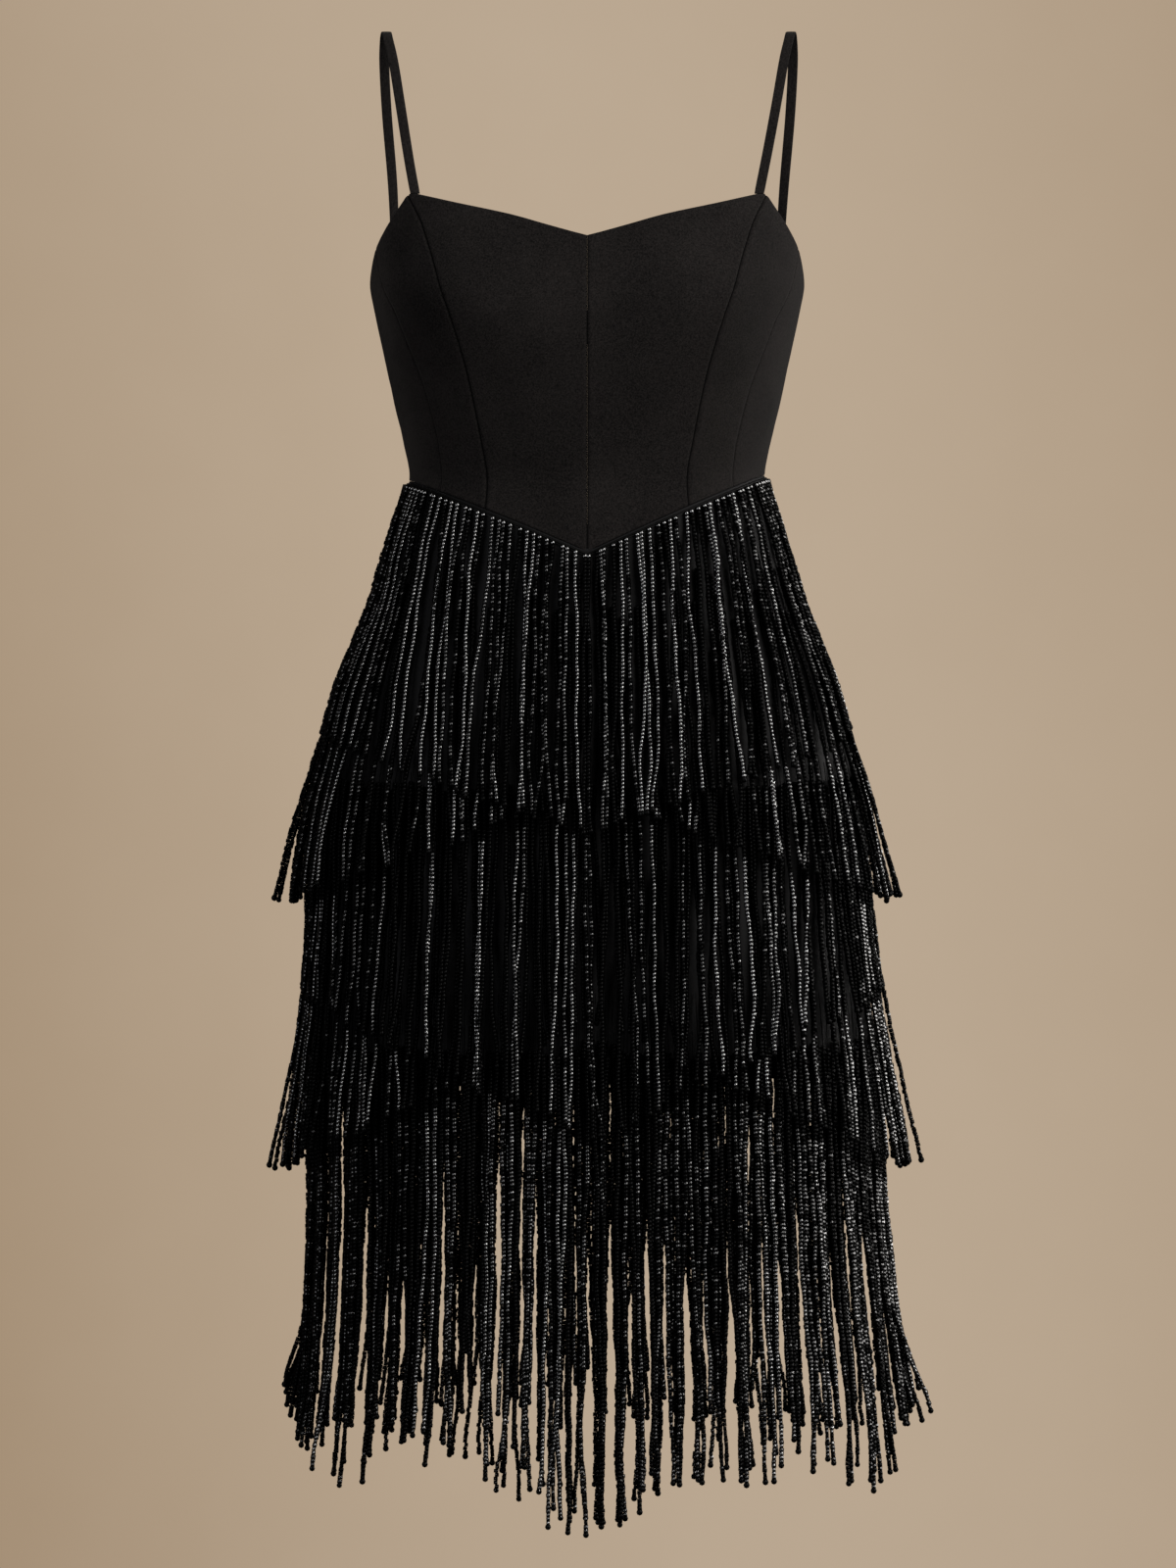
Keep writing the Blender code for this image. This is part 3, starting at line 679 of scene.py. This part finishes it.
# painted shade: strands take duller glass for this far below a hem, where the hem above shades them
PAINTED_HEM_SHADE = 0.0075
# a level over everything, for strands with no hem above them
NO_HEM = 1.0
STRAND_STEPS = {1: 18, 2: 30, 3: 24}
UNDER_COVER = 0.018
BUNDLED_FROM_TOP = 0.04
# how far the ends of side strands stick out, shared out evenly by steps of the golden share
FLICK = {1: 0.015, 2: 0.016, 3: 0.018}
GOLDEN_SHARE = 0.618034
RAGGED_AT_SIDES = 0.0070
DRAWN_IN_AT_SIDES = 0.22
CLOSER_AT_SIDES = 0.5


def finish_bead(name, material):
    bead = bpy.context.object
    bead.name = name
    bpy.ops.object.shade_smooth()
    bead.data.materials.append(material)
    return bead


def model_bead(name, sides, material):
    """A seed bead of press-moulded glass on the strand's axis: a short barrel, shaded round."""
    bpy.ops.object.select_all(action="DESELECT")
    bpy.ops.mesh.primitive_cylinder_add(vertices=sides, radius=BEAD_GIRTHS[sides], depth=BEAD_DEPTH)
    return finish_bead(name, material)


def model_end_bead(name, material):
    """The larger round bead that holds the end of a strand."""
    bpy.ops.object.select_all(action="DESELECT")
    bpy.ops.mesh.primitive_uv_sphere_add(segments=5, ring_count=4, radius=BEAD_RADIUS)
    return finish_bead(name, material)


def stringing(name, beads, end_bead, head_bead, thread):
    """Nodes that string beads along each line of a mesh, put the larger ones on their points, and draw
    the bare thread."""
    tree = bpy.data.node_groups.new(name, "GeometryNodeTree")
    tree.interface.new_socket("Geometry", in_out="INPUT", socket_type="NodeSocketGeometry")
    tree.interface.new_socket("Geometry", in_out="OUTPUT", socket_type="NodeSocketGeometry")

    def add(kind, settings=None, inputs=None):
        node = tree.nodes.new(kind)
        for key, value in (settings or {}).items():
            setattr(node, key, value)
        for key, value in (inputs or {}).items():
            if isinstance(value, bpy.types.NodeSocket):
                tree.links.new(value, node.inputs[key])
            else:
                node.inputs[key].default_value = value
        return node

    def named(key, kind="FLOAT"):
        return add("GeometryNodeInputNamedAttribute", {"data_type": kind}, {"Name": key}).outputs["Attribute"]

    def between(kind, low, high, seed):
        node = add("FunctionNodeRandomValue", {"data_type": kind})
        low_socket, high_socket = (0, 1) if kind == "FLOAT_VECTOR" else (2, 3)
        node.inputs[low_socket].default_value, node.inputs[high_socket].default_value = low, high
        node.inputs["Seed"].default_value = seed
        return node.outputs[0 if kind == "FLOAT_VECTOR" else 1]

    def calculate(operation, *values):
        return add("ShaderNodeMath", {"operation": operation}, dict(enumerate(values))).outputs[0]

    def rotated(rotation, by):
        turns = {"Rotation": rotation, "Rotate By": by}
        return add("FunctionNodeRotateRotation", {"rotation_space": "LOCAL"}, turns).outputs[0]

    lines = add("NodeGroupInput").outputs[0]
    is_bead = calculate("GREATER_THAN", named("strung"), 0.5)
    parts = add("GeometryNodeSeparateGeometry", {"domain": "EDGE"}, {"Geometry": lines, "Selection": is_bead})
    curves = add("GeometryNodeMeshToCurve", None, {"Mesh": parts.outputs["Selection"]})
    spots = add("GeometryNodeCurveToPoints", {"mode": "LENGTH"}, {"Curve": curves.outputs[0], "Length": BEAD_PITCH})
    turned = calculate("ADD", named("spin"), between("FLOAT", -SPIN_SPREAD, SPIN_SPREAD, 3))
    spin = add("FunctionNodeAxisAngleToRotation", None, {"Axis": (0, 0, 1), "Angle": turned}).outputs[0]
    tilts = between("FLOAT_VECTOR", (-BEAD_TILT, -BEAD_TILT, 0), (BEAD_TILT, BEAD_TILT, 0), 5)
    tilt = add("FunctionNodeEulerToRotation", None, {"Euler": tilts}).outputs[0]
    facing = rotated(rotated(spots.outputs["Rotation"], spin), tilt)
    joined = add("GeometryNodeJoinGeometry")
    # painted shade: a strand's share fades to nothing at the hem above it, so the beads just below it take the
    # dullest glass
    place = add("ShaderNodeSeparateXYZ", None, {0: add("GeometryNodeInputPosition").outputs[0]})
    below = calculate("DIVIDE", calculate("SUBTRACT", named("hem_above"), place.outputs["Z"]), PAINTED_HEM_SHADE)
    lit = calculate("MAXIMUM", calculate("MINIMUM", below, 1.0), 0.0)
    own = calculate("MULTIPLY", named("gleam"), lit)
    gleam = calculate("ADD", own, between("FLOAT", -GLEAM_SPREAD, GLEAM_SPREAD, 11))
    # painted highlight and shade: each bead's share, a little uneven, picks the dull, plain or bright glass
    above = [calculate("GREATER_THAN", gleam, limit) for limit in (DULL_BELOW, BRIGHT_ABOVE)]
    choice = calculate("ADD", *above)
    wide = add("ShaderNodeCombineXYZ", None, {"X": named("girth"), "Y": named("girth"), "Z": 1.0}).outputs[0]
    uneven = between("FLOAT_VECTOR", BEAD_LEAST, BEAD_MOST, 7)
    size = add("ShaderNodeVectorMath", {"operation": "MULTIPLY"}, {0: wide, 1: uneven}).outputs[0]
    for number, bead in enumerate(beads):
        source = add("GeometryNodeObjectInfo", {"transform_space": "ORIGINAL"}, {"Object": bead})
        same = calculate("COMPARE", choice, number, 0.1)
        kinds = {"Points": spots.outputs["Points"], "Selection": same, "Instance": source.outputs["Geometry"]}
        kinds |= {"Rotation": facing, "Scale": size}
        strung = add("GeometryNodeInstanceOnPoints", None, kinds)
        tree.links.new(strung.outputs[0], joined.inputs[0])
    for key, bead in (("end", end_bead), ("head", head_bead)):
        large = named(key)
        at = {"Mesh": lines, "Selection": calculate("GREATER_THAN", large, 0.5)}
        points = add("GeometryNodeMeshToPoints", None, at).outputs[0]
        source = add("GeometryNodeObjectInfo", {"transform_space": "ORIGINAL"}, {"Object": bead})
        put = {"Points": points, "Instance": source.outputs["Geometry"], "Scale": large}
        tree.links.new(add("GeometryNodeInstanceOnPoints", None, put).outputs[0], joined.inputs[0])
    bare = add("GeometryNodeMeshToCurve", None, {"Mesh": parts.outputs["Inverted"]})
    section = add("GeometryNodeCurvePrimitiveCircle", None, {"Resolution": 3, "Radius": BARE_CORD})
    cords = add(
        "GeometryNodeCurveToMesh",
        None,
        {"Curve": bare.outputs[0], "Profile Curve": section.outputs[0], "Fill Caps": True},
    )
    cords = add("GeometryNodeSetMaterial", None, {"Geometry": cords.outputs[0], "Material": thread})
    tree.links.new(cords.outputs[0], joined.inputs[0])
    whole = add("GeometryNodeRealizeInstances", None, {"Geometry": joined.outputs[0]})
    tree.links.new(whole.outputs[0], add("NodeGroupOutput").inputs[0])
    return tree


# Levels are for the header at the centre and the sides, and for the hem at the same two with its curve.
Layer = namedtuple("Layer", "name tier upper header hem count ragged gleam")
# The last column paints shade: lower and inner layers keep a smaller share and take duller glass.
LAYERS = (
    Layer("fringe_1_upper", 1, 1, None, (-0.5660, -0.4960, 1.0), 132, 0.0014, 1.0),
    Layer("fringe_1_lower", 1, 0, (-0.4030, -0.4110), (-0.5350, -0.6150, 1.0), 146, 0.0014, 0.92),
    Layer("fringe_2_upper", 2, 1, (-0.5050, -0.5050), (-0.7810, -0.6770, 1.0), 150, 0.0026, 0.88),
    Layer("fringe_2_lower", 2, 0, (-0.5150, -0.5150), (-0.6940, -0.8030, 1.0), 156, 0.0022, 0.84),
    Layer("fringe_3_upper", 3, 1, (-0.6780, -0.6780), (-1.0580, -0.9730, 0.8), 210, 0.0120, 0.64),
    Layer("fringe_3_lower", 3, 0, (-0.6850, -0.6850), (-0.9660, -0.9850, 1.0), 210, 0.0180, 0.52),
)
# by tier: how it hangs off the slip, how wide its bundles are, and how far their strands draw together
DRAPES = {1: TIER_1, 2: TIER_2, 3: TIER_3}
BUNDLES = {1: (0.008, 0.017), 2: (0.008, 0.018), 3: (0.007, 0.015)}
PULLS = {1: 0.28, 2: 0.28, 3: 0.40}
# painted shade by side: turn in degrees, and how much of its share of bright glass a strand keeps there, least at
# the left side and a little less at the centre front
PAINTED_SHADE_ROUND = (
    (-180, 1.0), (-100, 0.8), (-88, 0.45), (-66, 0.92), (-42, 1.05), (-18, 1.0),
    (0, 0.90), (22, 0.90), (42, 1.0), (60, 1.0), (180, 1.0),
)
# how evenly a tier's strands are spaced, and how wide their beads are near the header
UNEVEN = {1: 0.36, 2: 0.36, 3: 0.16}
WIDE_ABOVE = {1: 1.0, 2: 1.0, 3: 1.32}


def line_at(values, turn):
    """A level that goes from a value at the centre to one at the sides."""
    return mix(values[0], values[1], np.abs(np.sin(turn)) ** (values[2] if len(values) > 2 else 1.0))


def under_tape(turn):
    return waist_seam(turn) - TAPE_BELOW_SEAM - TAPE_HEIGHT - SEAM_GAP


def header_of(layer, turn):
    if layer.header is None:
        return under_tape(turn)
    return line_at(layer.header, turn)


def cover_of(tier, turn):
    """The level below which this tier's strands show: they are bare thread above it."""
    above = [line_at(layer.hem, turn) for layer in LAYERS if layer.tier == tier - 1]
    if not above:
        return np.zeros_like(turn)
    hidden = mix(np.minimum(*above), np.maximum(*above), 0.6)
    return np.maximum(hidden, SLIP_HEM) if tier == 3 else hidden


def hem_above(layer, turn):
    """The level of the lowest hem that hangs over a layer."""
    over = [line_at(other.hem, turn) for other in LAYERS if other.tier == layer.tier - 1]
    if not layer.upper and layer.tier < 3:
        over += [line_at(other.hem, turn) for other in LAYERS if other.tier == layer.tier and other.upper]
    return np.min(over, axis=0) if over else np.full(np.shape(turn), NO_HEM)


def stand_off(layer, turn, z):
    """How far the middle of a strand hangs off the slip."""
    at_side = np.sin(turn) ** 8 * (layer.tier < 3)
    lift = read(DRAPES[layer.tier], z) * (1 - DRAWN_IN_AT_SIDES * at_side)
    lift = lift + layer.upper * (FRINGE_WALL + LAYER_GAP) * (1 - CLOSER_AT_SIDES * at_side)
    share = np.clip((header_of(layer, turn) - z) / DRAPE_RISE, 0, 1)
    return mix(SEAT_GAP, lift, share) + FRINGE_WALL / 2


def even_turns(layer, chance):
    """Turns all round, about as far apart along the header, with a little unevenness."""
    turn = np.linspace(-math.pi / 2, 3 * math.pi / 2, 1441)
    way = np.concatenate([[0], np.cumsum(length(np.diff(skin(turn, header_of(layer, turn)), axis=0)))])
    between_lower = 0.25 if layer.upper else -0.25
    uneven = chance.uniform(-1, 1, layer.count) * UNEVEN[layer.tier]
    spots = (np.arange(layer.count) + 0.5 + between_lower + uneven) / layer.count
    return np.interp(spots * way[-1], way, turn)


NARROWED_AT_SIDES = 0.34
SEEN_NARROWER = 0.0094
INNER_NARROWER = 1.021


def bundle_edges(layer):
    """Where the strands of a tier part into bundles, as turns. Front and back part at the same places."""
    chance = np.random.default_rng(40 + layer.tier)
    edges = [-math.pi / 2]
    while edges[-1] < math.pi / 2:
        reach = length(along_skin(edges[-1], -0.70))
        if layer.tier == 3:
            reach = reach * max(math.cos(edges[-1]), NARROWED_AT_SIDES)
        edges.append(edges[-1] + chance.uniform(*BUNDLES[layer.tier]) / reach)
    front = np.array(edges[:-1])
    if not layer.upper:
        front = np.arcsin(np.clip(np.sin(front) * INNER_NARROWER, -1, 1))
    behind = np.arcsin(np.clip(np.sin(front) * (1 + SEEN_NARROWER * np.cos(front)), -1, 1))
    return np.concatenate([front, math.pi - behind[::-1], [3 * math.pi / 2]])


# turn in degrees, level to which the longest strands of the front reach
FRONT_HEM = (
    (-90, -0.955), (-80, -0.984), (-73, -1.000), (-58, -1.018), (-52, -1.026),
    (-46, -1.010), (-43, -0.987), (-40, -0.996), (-33, -1.009), (-31, -1.007),
    (-28, -0.986), (-25, -0.969), (-21, -1.018), (-16, -1.008), (-12, -1.030),
    (-8, -1.053), (-3, -1.058), (2, -1.050), (7, -1.037), (12, -1.024),
    (22, -1.022), (33, -1.019), (35, -0.980), (38, -1.001), (46, -1.024),
    (55, -1.028), (65, -1.017), (73, -0.988), (90, -0.978),
)


def hang(layer, chance):
    """The lines of a layer's strands: their points from the header to the end, one row a strand."""
    start = even_turns(layer, chance)
    edges = bundle_edges(layer)
    bundle = np.clip(np.searchsorted(edges, start, side="right") - 1, 0, len(edges) - 2)
    centre = (edges[bundle] + edges[bundle + 1]) / 2
    bundle_drop = chance.normal(0, layer.ragged * 0.5, len(edges))[bundle]
    drop = bundle_drop + np.abs(chance.normal(0, layer.ragged, layer.count))
    if layer.tier < 3:
        drop = drop + RAGGED_AT_SIDES * np.sin(start) ** 12 * chance.uniform(0, 1, layer.count) ** 2
    top = header_of(layer, start)
    if not layer.upper:
        top = top + chance.uniform(-0.020, 0.045 if layer.tier == 1 else 0.008, layer.count)
    top = np.minimum(top, under_tape(start))
    steps = STRAND_STEPS[layer.tier]
    share = np.linspace(0, 1, steps + 1)[None, :]
    turn = np.repeat(start[:, None], steps + 1, axis=1)
    for _ in range(3):
        hem = line_at(layer.hem, turn[:, -1]) + drop
        if layer.name == "fringe_3_upper":
            front = np.abs(turn[:, -1]) < math.pi / 2
            short = chance.choice((0.0, 0.012, 0.040), layer.count, p=(0.62, 0.28, 0.10))
            shaped = read(FRONT_HEM, np.degrees(turn[:, -1])) + np.abs(drop) * 0.35 + short
            hem = np.where(front, shaped, hem)
        z = mix(top[:, None], hem[:, None], share)
        for step in range(1, steps + 1):
            before, level, was = turn[:, step - 1], z[:, step], z[:, step - 1]
            across = along_skin(before, level, stand_off(layer, before, level))
            moved = skin(before, level, stand_off(layer, before, level))
            moved = moved - skin(before, was, stand_off(layer, before, was))
            turn[:, step] = before - (moved * across).sum(-1) / (across**2).sum(-1)
    fall = top[:, None] - z
    settle = ease(fall / 0.05)
    if layer.tier < 3:
        together = PULLS[layer.tier] * ease((share - 0.45) / 0.5)
    else:
        parts_at = np.random.default_rng(50).uniform(-0.87, -0.68, len(edges)) + 0.09 * np.sin(edges) ** 4
        parts_at = parts_at[bundle][:, None]
        drawn = PULLS[layer.tier] * ease((parts_at - z) / 0.12) + 0.26 * ease((-0.88 - z) / 0.14)
        together = BUNDLED_FROM_TOP + drawn
    turn = turn + (centre - start)[:, None] * together
    phase = chance.uniform(0, 2 * math.pi, (4, layer.count, 1))
    sway = chance.uniform(0.4, 1.3, (2, layer.count, 1))
    loose = 0.4 if layer.tier == 3 else 1.0
    lean = chance.normal(0, 0.010 * loose, (layer.count, 1)) * fall
    drift = chance.normal(0, 0.0022 * loose, (layer.count, 1)) * np.sin(fall / 0.085 + phase[0] * 0.5)
    side = drift + 0.00075 * sway[0] * np.sin(fall / 0.021 + phase[0]) + 0.00040 * np.sin(fall / 0.0075 + phase[1])
    swing = chance.normal(0, 0.0024, (layer.count, 1)) * ease((share - 0.74) / 0.26) ** 2
    turn = turn + (side + lean + swing) * settle / length(along_skin(turn, z))
    off = 0.0007 * sway[1] * np.sin(fall / 0.026 + phase[2]) + 0.0003 * np.sin(fall / 0.009 + phase[3])
    reach = (np.arange(layer.count)[:, None] * GOLDEN_SHARE + 0.31) % 1
    if layer.tier == 3:
        flick = reach**4 * ease((share - 0.72) / 0.28) ** 2 * np.sin(turn) ** 8
    else:
        flick = (1 - layer.upper) * reach**3 * np.clip((share - 0.35) / 0.65, 0, 1) ** 1.5 * np.sin(turn) ** 12
    flick = FLICK[layer.tier] * flick
    out = stand_off(layer, turn, z) + (off + chance.uniform(-0.0007, 0.0010, (layer.count, 1))) * settle + flick
    return start, skin(turn, z, np.maximum(out, SEAT_GAP + BEAD_RADIUS))


# what each point of a strand says about its beads
WORDS = ("gleam", "spin", "girth", "end", "head", "hem_above")


def string_layer(layer):
    """A layer's strands as one piece for each length of its tape, keyed by the CAD node they stand for."""
    chance = np.random.default_rng(100 + LAYERS.index(layer))
    start, points = hang(layer, chance)
    turned = np.degrees(np.arctan2(np.sin(start), np.cos(start)))
    # painted light and shade: each strand's share of bright glass is random, less on lower layers, and set by side
    gleam = chance.uniform(0, layer.gleam, layer.count) * read(PAINTED_SHADE_ROUND, turned)
    spin = chance.uniform(0, math.tau, layer.count)
    cover = cover_of(layer.tier, start) + UNDER_COVER
    hem = hem_above(layer, start)
    made = {}
    if layer.tier == 1:
        stretches = STRETCHES
    else:
        stretches = {"front": STRETCHES["front"], "back": (math.pi / 2, 3 * math.pi / 2)}
    for key, (low, high) in stretches.items():
        verts, lines, strung = [], [], []
        each = {word: [] for word in WORDS}
        for strand in np.flatnonzero((start >= low) & (start < high)):
            path = points[strand]
            first = int(np.argmax(path[:, 2] < cover[strand])) if layer.tier > 1 else 0
            rows = sorted({0, first // 2, *range(first, len(path))})
            base = len(verts)
            for place, row in enumerate(rows):
                verts.append(path[row])
                girth = mix(WIDE_ABOVE[layer.tier], 1.0, float(ease(row / len(path) * 1.5 - 0.4)))
                for word, value in zip(WORDS, (gleam[strand], spin[strand], girth, 0.0, 0.0, hem[strand])):
                    each[word].append(value)
                if place:
                    lines.append((base + place - 1, base + place))
                    strung.append(1.0 if rows[place - 1] >= first else 0.0)
            each["end"][-1] = END_BEAD * chance.uniform(0.92, 1.08)
            each["head"][base] = HEAD_BEAD if layer.header is None else 0.0
        name = f"{layer.name}_{key}"
        mesh = bpy.data.meshes.new(name)
        mesh.from_pydata(np.array(verts).tolist(), lines, [])
        mesh.attributes.new("strung", "FLOAT", "EDGE").data.foreach_set("value", strung)
        for word, values in each.items():
            mesh.attributes.new(word, "FLOAT", "POINT").data.foreach_set("value", values)
        piece = bpy.data.objects.new(f"strands_{name[7:]}", mesh)
        bpy.context.scene.collection.objects.link(piece)
        take(piece)
        modifier = piece.modifiers.new("stringing", "NODES")
        modifier.node_group = STRINGING["front" if key == "front" else "back"]
        bpy.ops.object.modifier_apply(modifier=modifier.name)
        made[name] = piece
    return made


def bead_kinds(sides):
    """A bead of each glass, from the dullest to the brightest."""
    glasses = (DULL_JET, JET, BRIGHT_JET)
    return [model_bead(f"bead_{sides}_{number}", sides, glass) for number, glass in enumerate(glasses)]


# painted shade: the end beads take the dullest glass, which darkens the line along each hem; painted highlight: the
# head beads under the tape take the brightest
end_kind = model_end_bead("bead_end", DULL_JET)
head_kind = model_end_bead("bead_head", BRIGHT_JET)
back_kinds, front_kinds = bead_kinds(3), bead_kinds(4)
STRINGING = {
    "back": stringing("string_back_beads", back_kinds, end_kind, head_kind, THREAD),
    "front": stringing("string_front_beads", front_kinds, end_kind, head_kind, THREAD),
}
strands = {}
for layer in LAYERS:
    strands.update(string_layer(layer))
for bead in [*back_kinds, *front_kinds, end_kind, head_kind]:
    bpy.data.objects.remove(bead)


# ---- Zip ----
ZIP_EDGE = 0.00016
ZIP_CREASE = math.radians(40)


def refine_zip(node, name):
    """The zip's part with its edges eased, as cast metal has them."""
    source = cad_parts[node]
    piece = bpy.data.objects.new(name, source.data.copy())
    bpy.context.scene.collection.objects.link(piece)
    take(piece)
    bpy.ops.object.mode_set(mode="EDIT")
    bpy.ops.mesh.select_all(action="SELECT")
    bpy.ops.mesh.remove_doubles(threshold=1e-6)
    bpy.ops.mesh.tris_convert_to_quads()
    bpy.ops.object.mode_set(mode="OBJECT")
    bevel = piece.modifiers.new("ease", "BEVEL")
    bevel.width, bevel.segments = ZIP_EDGE, 2
    bevel.limit_method, bevel.angle_limit = "ANGLE", ZIP_CREASE
    bpy.ops.object.modifier_apply(modifier=bevel.name)
    bpy.ops.object.shade_smooth_by_angle(angle=ZIP_CREASE)
    piece.data.materials.clear()
    piece.data.materials.append(ENAMEL)
    return piece


slider = refine_zip("zip_slider", "zip_slider_cast")
pull = refine_zip("zip_pull", "zip_pull_cast")

# ---- What each piece is to the frame ----
def stand_in(piece, body, node):
    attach(piece, body)
    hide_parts(node)


for pieces, prefix, slot in (
    (bodice, "", "crepe"),
    (straps, "", "crepe"),
    (slips, "slip_", "slip_cloth"),
    (tapes, "waist_tape_", "tape"),
    (strands, "", "beads"),
):
    for key, piece in pieces.items():
        stand_in(piece, "dress", prefix + key)
stand_in(slider, "dress", "zip_slider")
stand_in(pull, "pull_tab", "zip_pull")

for panel_name, _, _, flat_width, flat_length, area in PANELS:
    for word in ("left", "right"):
        piece = bodice[f"{panel_name}_{word}"]


def strands_ending(*ends):
    return [piece for node, piece in strands.items() if node.endswith(ends)]


with_front = [tapes["front"], *strands_ending("front")]
with_left = [tapes["back_left"], *strands_ending("back_left")]
with_right = [tapes["back_right"], slider, *strands_ending("back", "back_right")]
# the width and area of each piece of the slip as it is cut, measured on the finished pieces
for key, going, flat_width, area, bodice_piece in (
    ("front", with_front, 0.532, 0.19746, "center_front_right"),
    ("back_left", with_left, 0.267, 0.10223, "back_left"),
    ("back_right", with_right, 0.267, 0.10223, "back_right"),
):
    piece = slips[key]

# ---- Studio ----
CAMERA_DISTANCE = 30.0
VIEW_HEIGHT = 1.104
VIEW_ASPECT = 0.75
SENSOR = 36.0
VIEW_CENTER = (0.0006, -0.5313)
FLOOR = -3.00
STAGE_RADIUS = 13.0
# what the view takes in of the backdrop
STAGE_HALF_HEIGHT = VIEW_HEIGHT / 2 * (CAMERA_DISTANCE + STAGE_RADIUS) / CAMERA_DISTANCE
STAGE_HALF_WIDTH = STAGE_HALF_HEIGHT * VIEW_ASPECT
STAGE_RISE = -VIEW_CENTER[1] / STAGE_HALF_HEIGHT


def add_stage():
    """A plain floor that runs up into the backdrop all round the object. It shows from its inside only, so
    that a far camera looks in through it. It glows by itself, for the camera only, with a painted pool of
    light: brighter near the middle of the view and darker towards its corners."""
    backdrop = Finish("backdrop")
    place = backdrop.add("ShaderNodeTexCoord", output="Object")
    u = backdrop.add("ShaderNodeSeparateXYZ", None, {0: place}, output="X") * (1 / STAGE_HALF_WIDTH)
    v = backdrop.add("ShaderNodeSeparateXYZ", None, {0: place}, output="Z") * (1 / STAGE_HALF_HEIGHT) + STAGE_RISE
    # painted light: a pool of light over the backdrop, brightest near the middle of the view and fading towards its
    # edges
    fade = 1 / ((u * u + v * v) * 0.19 + 1)
    shade = u * 0.19 + v * 0.06 - u * u * 0.54 - u * v * 0.20 - v * v * 0.09
    mottle = backdrop.noise(place, 0.17, 3.0, 0.55) - 0.5
    tone = backdrop.add("ShaderNodeClamp", None, {0: shade * fade + mottle * 0.16 + 0.87})
    tone = backdrop.blend(tone, (0.367, 0.267, 0.175), (0.515, 0.411, 0.305))
    glow = backdrop.add("ShaderNodeEmission", None, {"Color": tone, "Strength": 1.0})
    clear = backdrop.add("ShaderNodeBsdfTransparent")
    inside = backdrop.add("ShaderNodeNewGeometry", output="Backfacing")
    shown = backdrop.add("ShaderNodeMixShader", None, {0: inside, 1: clear, 2: glow})
    backdrop.add("ShaderNodeOutputMaterial", None, {"Surface": shown})
    backdrop.material.cycles.emission_sampling = "NONE"
    bpy.ops.object.select_all(action="DESELECT")
    bpy.ops.mesh.primitive_uv_sphere_add(segments=96, ring_count=64, radius=STAGE_RADIUS, location=(0, 0, 0))
    stage = bpy.context.object
    stage.name = "seamless_backdrop"
    bpy.ops.object.mode_set(mode="EDIT")
    bpy.ops.mesh.select_all(action="DESELECT")
    bpy.ops.object.mode_set(mode="OBJECT")
    for vert in stage.data.vertices:
        vert.select = vert.co.z < FLOOR
    bpy.ops.object.mode_set(mode="EDIT")
    bpy.ops.transform.resize(value=(1, 1, 0), center_override=(0, 0, FLOOR))
    bpy.ops.object.mode_set(mode="OBJECT")
    stage.data.materials.append(backdrop.material)
    for ray in ("visible_diffuse", "visible_glossy", "visible_transmission", "visible_shadow"):
        setattr(stage, ray, False)


def add_light(name, place, aim, size, power, tint, shines=True):
    bpy.ops.object.light_add(type="AREA", location=place)
    lamp = bpy.context.object
    lamp.name = name
    lamp.data.shape, lamp.data.size, lamp.data.size_y = "RECTANGLE", *size
    lamp.data.energy, lamp.data.color = power, tint
    way = np.array(aim) - np.array(place)
    bearing = math.atan2(way[1], way[0]) - math.pi / 2
    pitch = math.atan2(way[2], math.hypot(way[0], way[1])) + math.pi / 2
    lamp.rotation_euler = (pitch, 0, bearing)
    lamp.visible_glossy = shines


add_stage()
add_light("key", (3.5, -3.3, 2.5), (0, 0, -0.5), (3.4, 6.0), 520, (1.0, 0.98, 0.95))
add_light("fill", (-3.2, -3.6, 0.3), (0, 0, -0.55), (3.4, 3.6), 115, (0.96, 0.97, 1.0))
add_light("back_left", (-3.8, 3.2, 1.5), (0, 0, -0.5), (2.6, 3.4), 180, (1.0, 0.96, 0.92), shines=False)
add_light("back_right", (4.7, 1.7, 0.6), (0, 0, -0.5), (2.4, 3.4), 220, (1.0, 0.97, 0.94))

world = bpy.data.worlds.new("studio_air")
bpy.context.scene.world = world
world.use_nodes = True
air = world.node_tree.nodes["Background"].inputs
air["Color"].default_value, air["Strength"].default_value = (0.62, 0.56, 0.50, 1.0), 0.05

bpy.context.scene.view_settings.view_transform = "Standard"
bpy.ops.object.camera_add(location=(VIEW_CENTER[0], -CAMERA_DISTANCE, VIEW_CENTER[1]), rotation=(math.pi / 2, 0, 0))
camera = bpy.context.object
camera.name = "front_view"
camera.data.sensor_width = SENSOR
camera.data.lens = SENSOR * CAMERA_DISTANCE / VIEW_HEIGHT
camera.data.clip_end = 120.0
bpy.context.scene.camera = camera
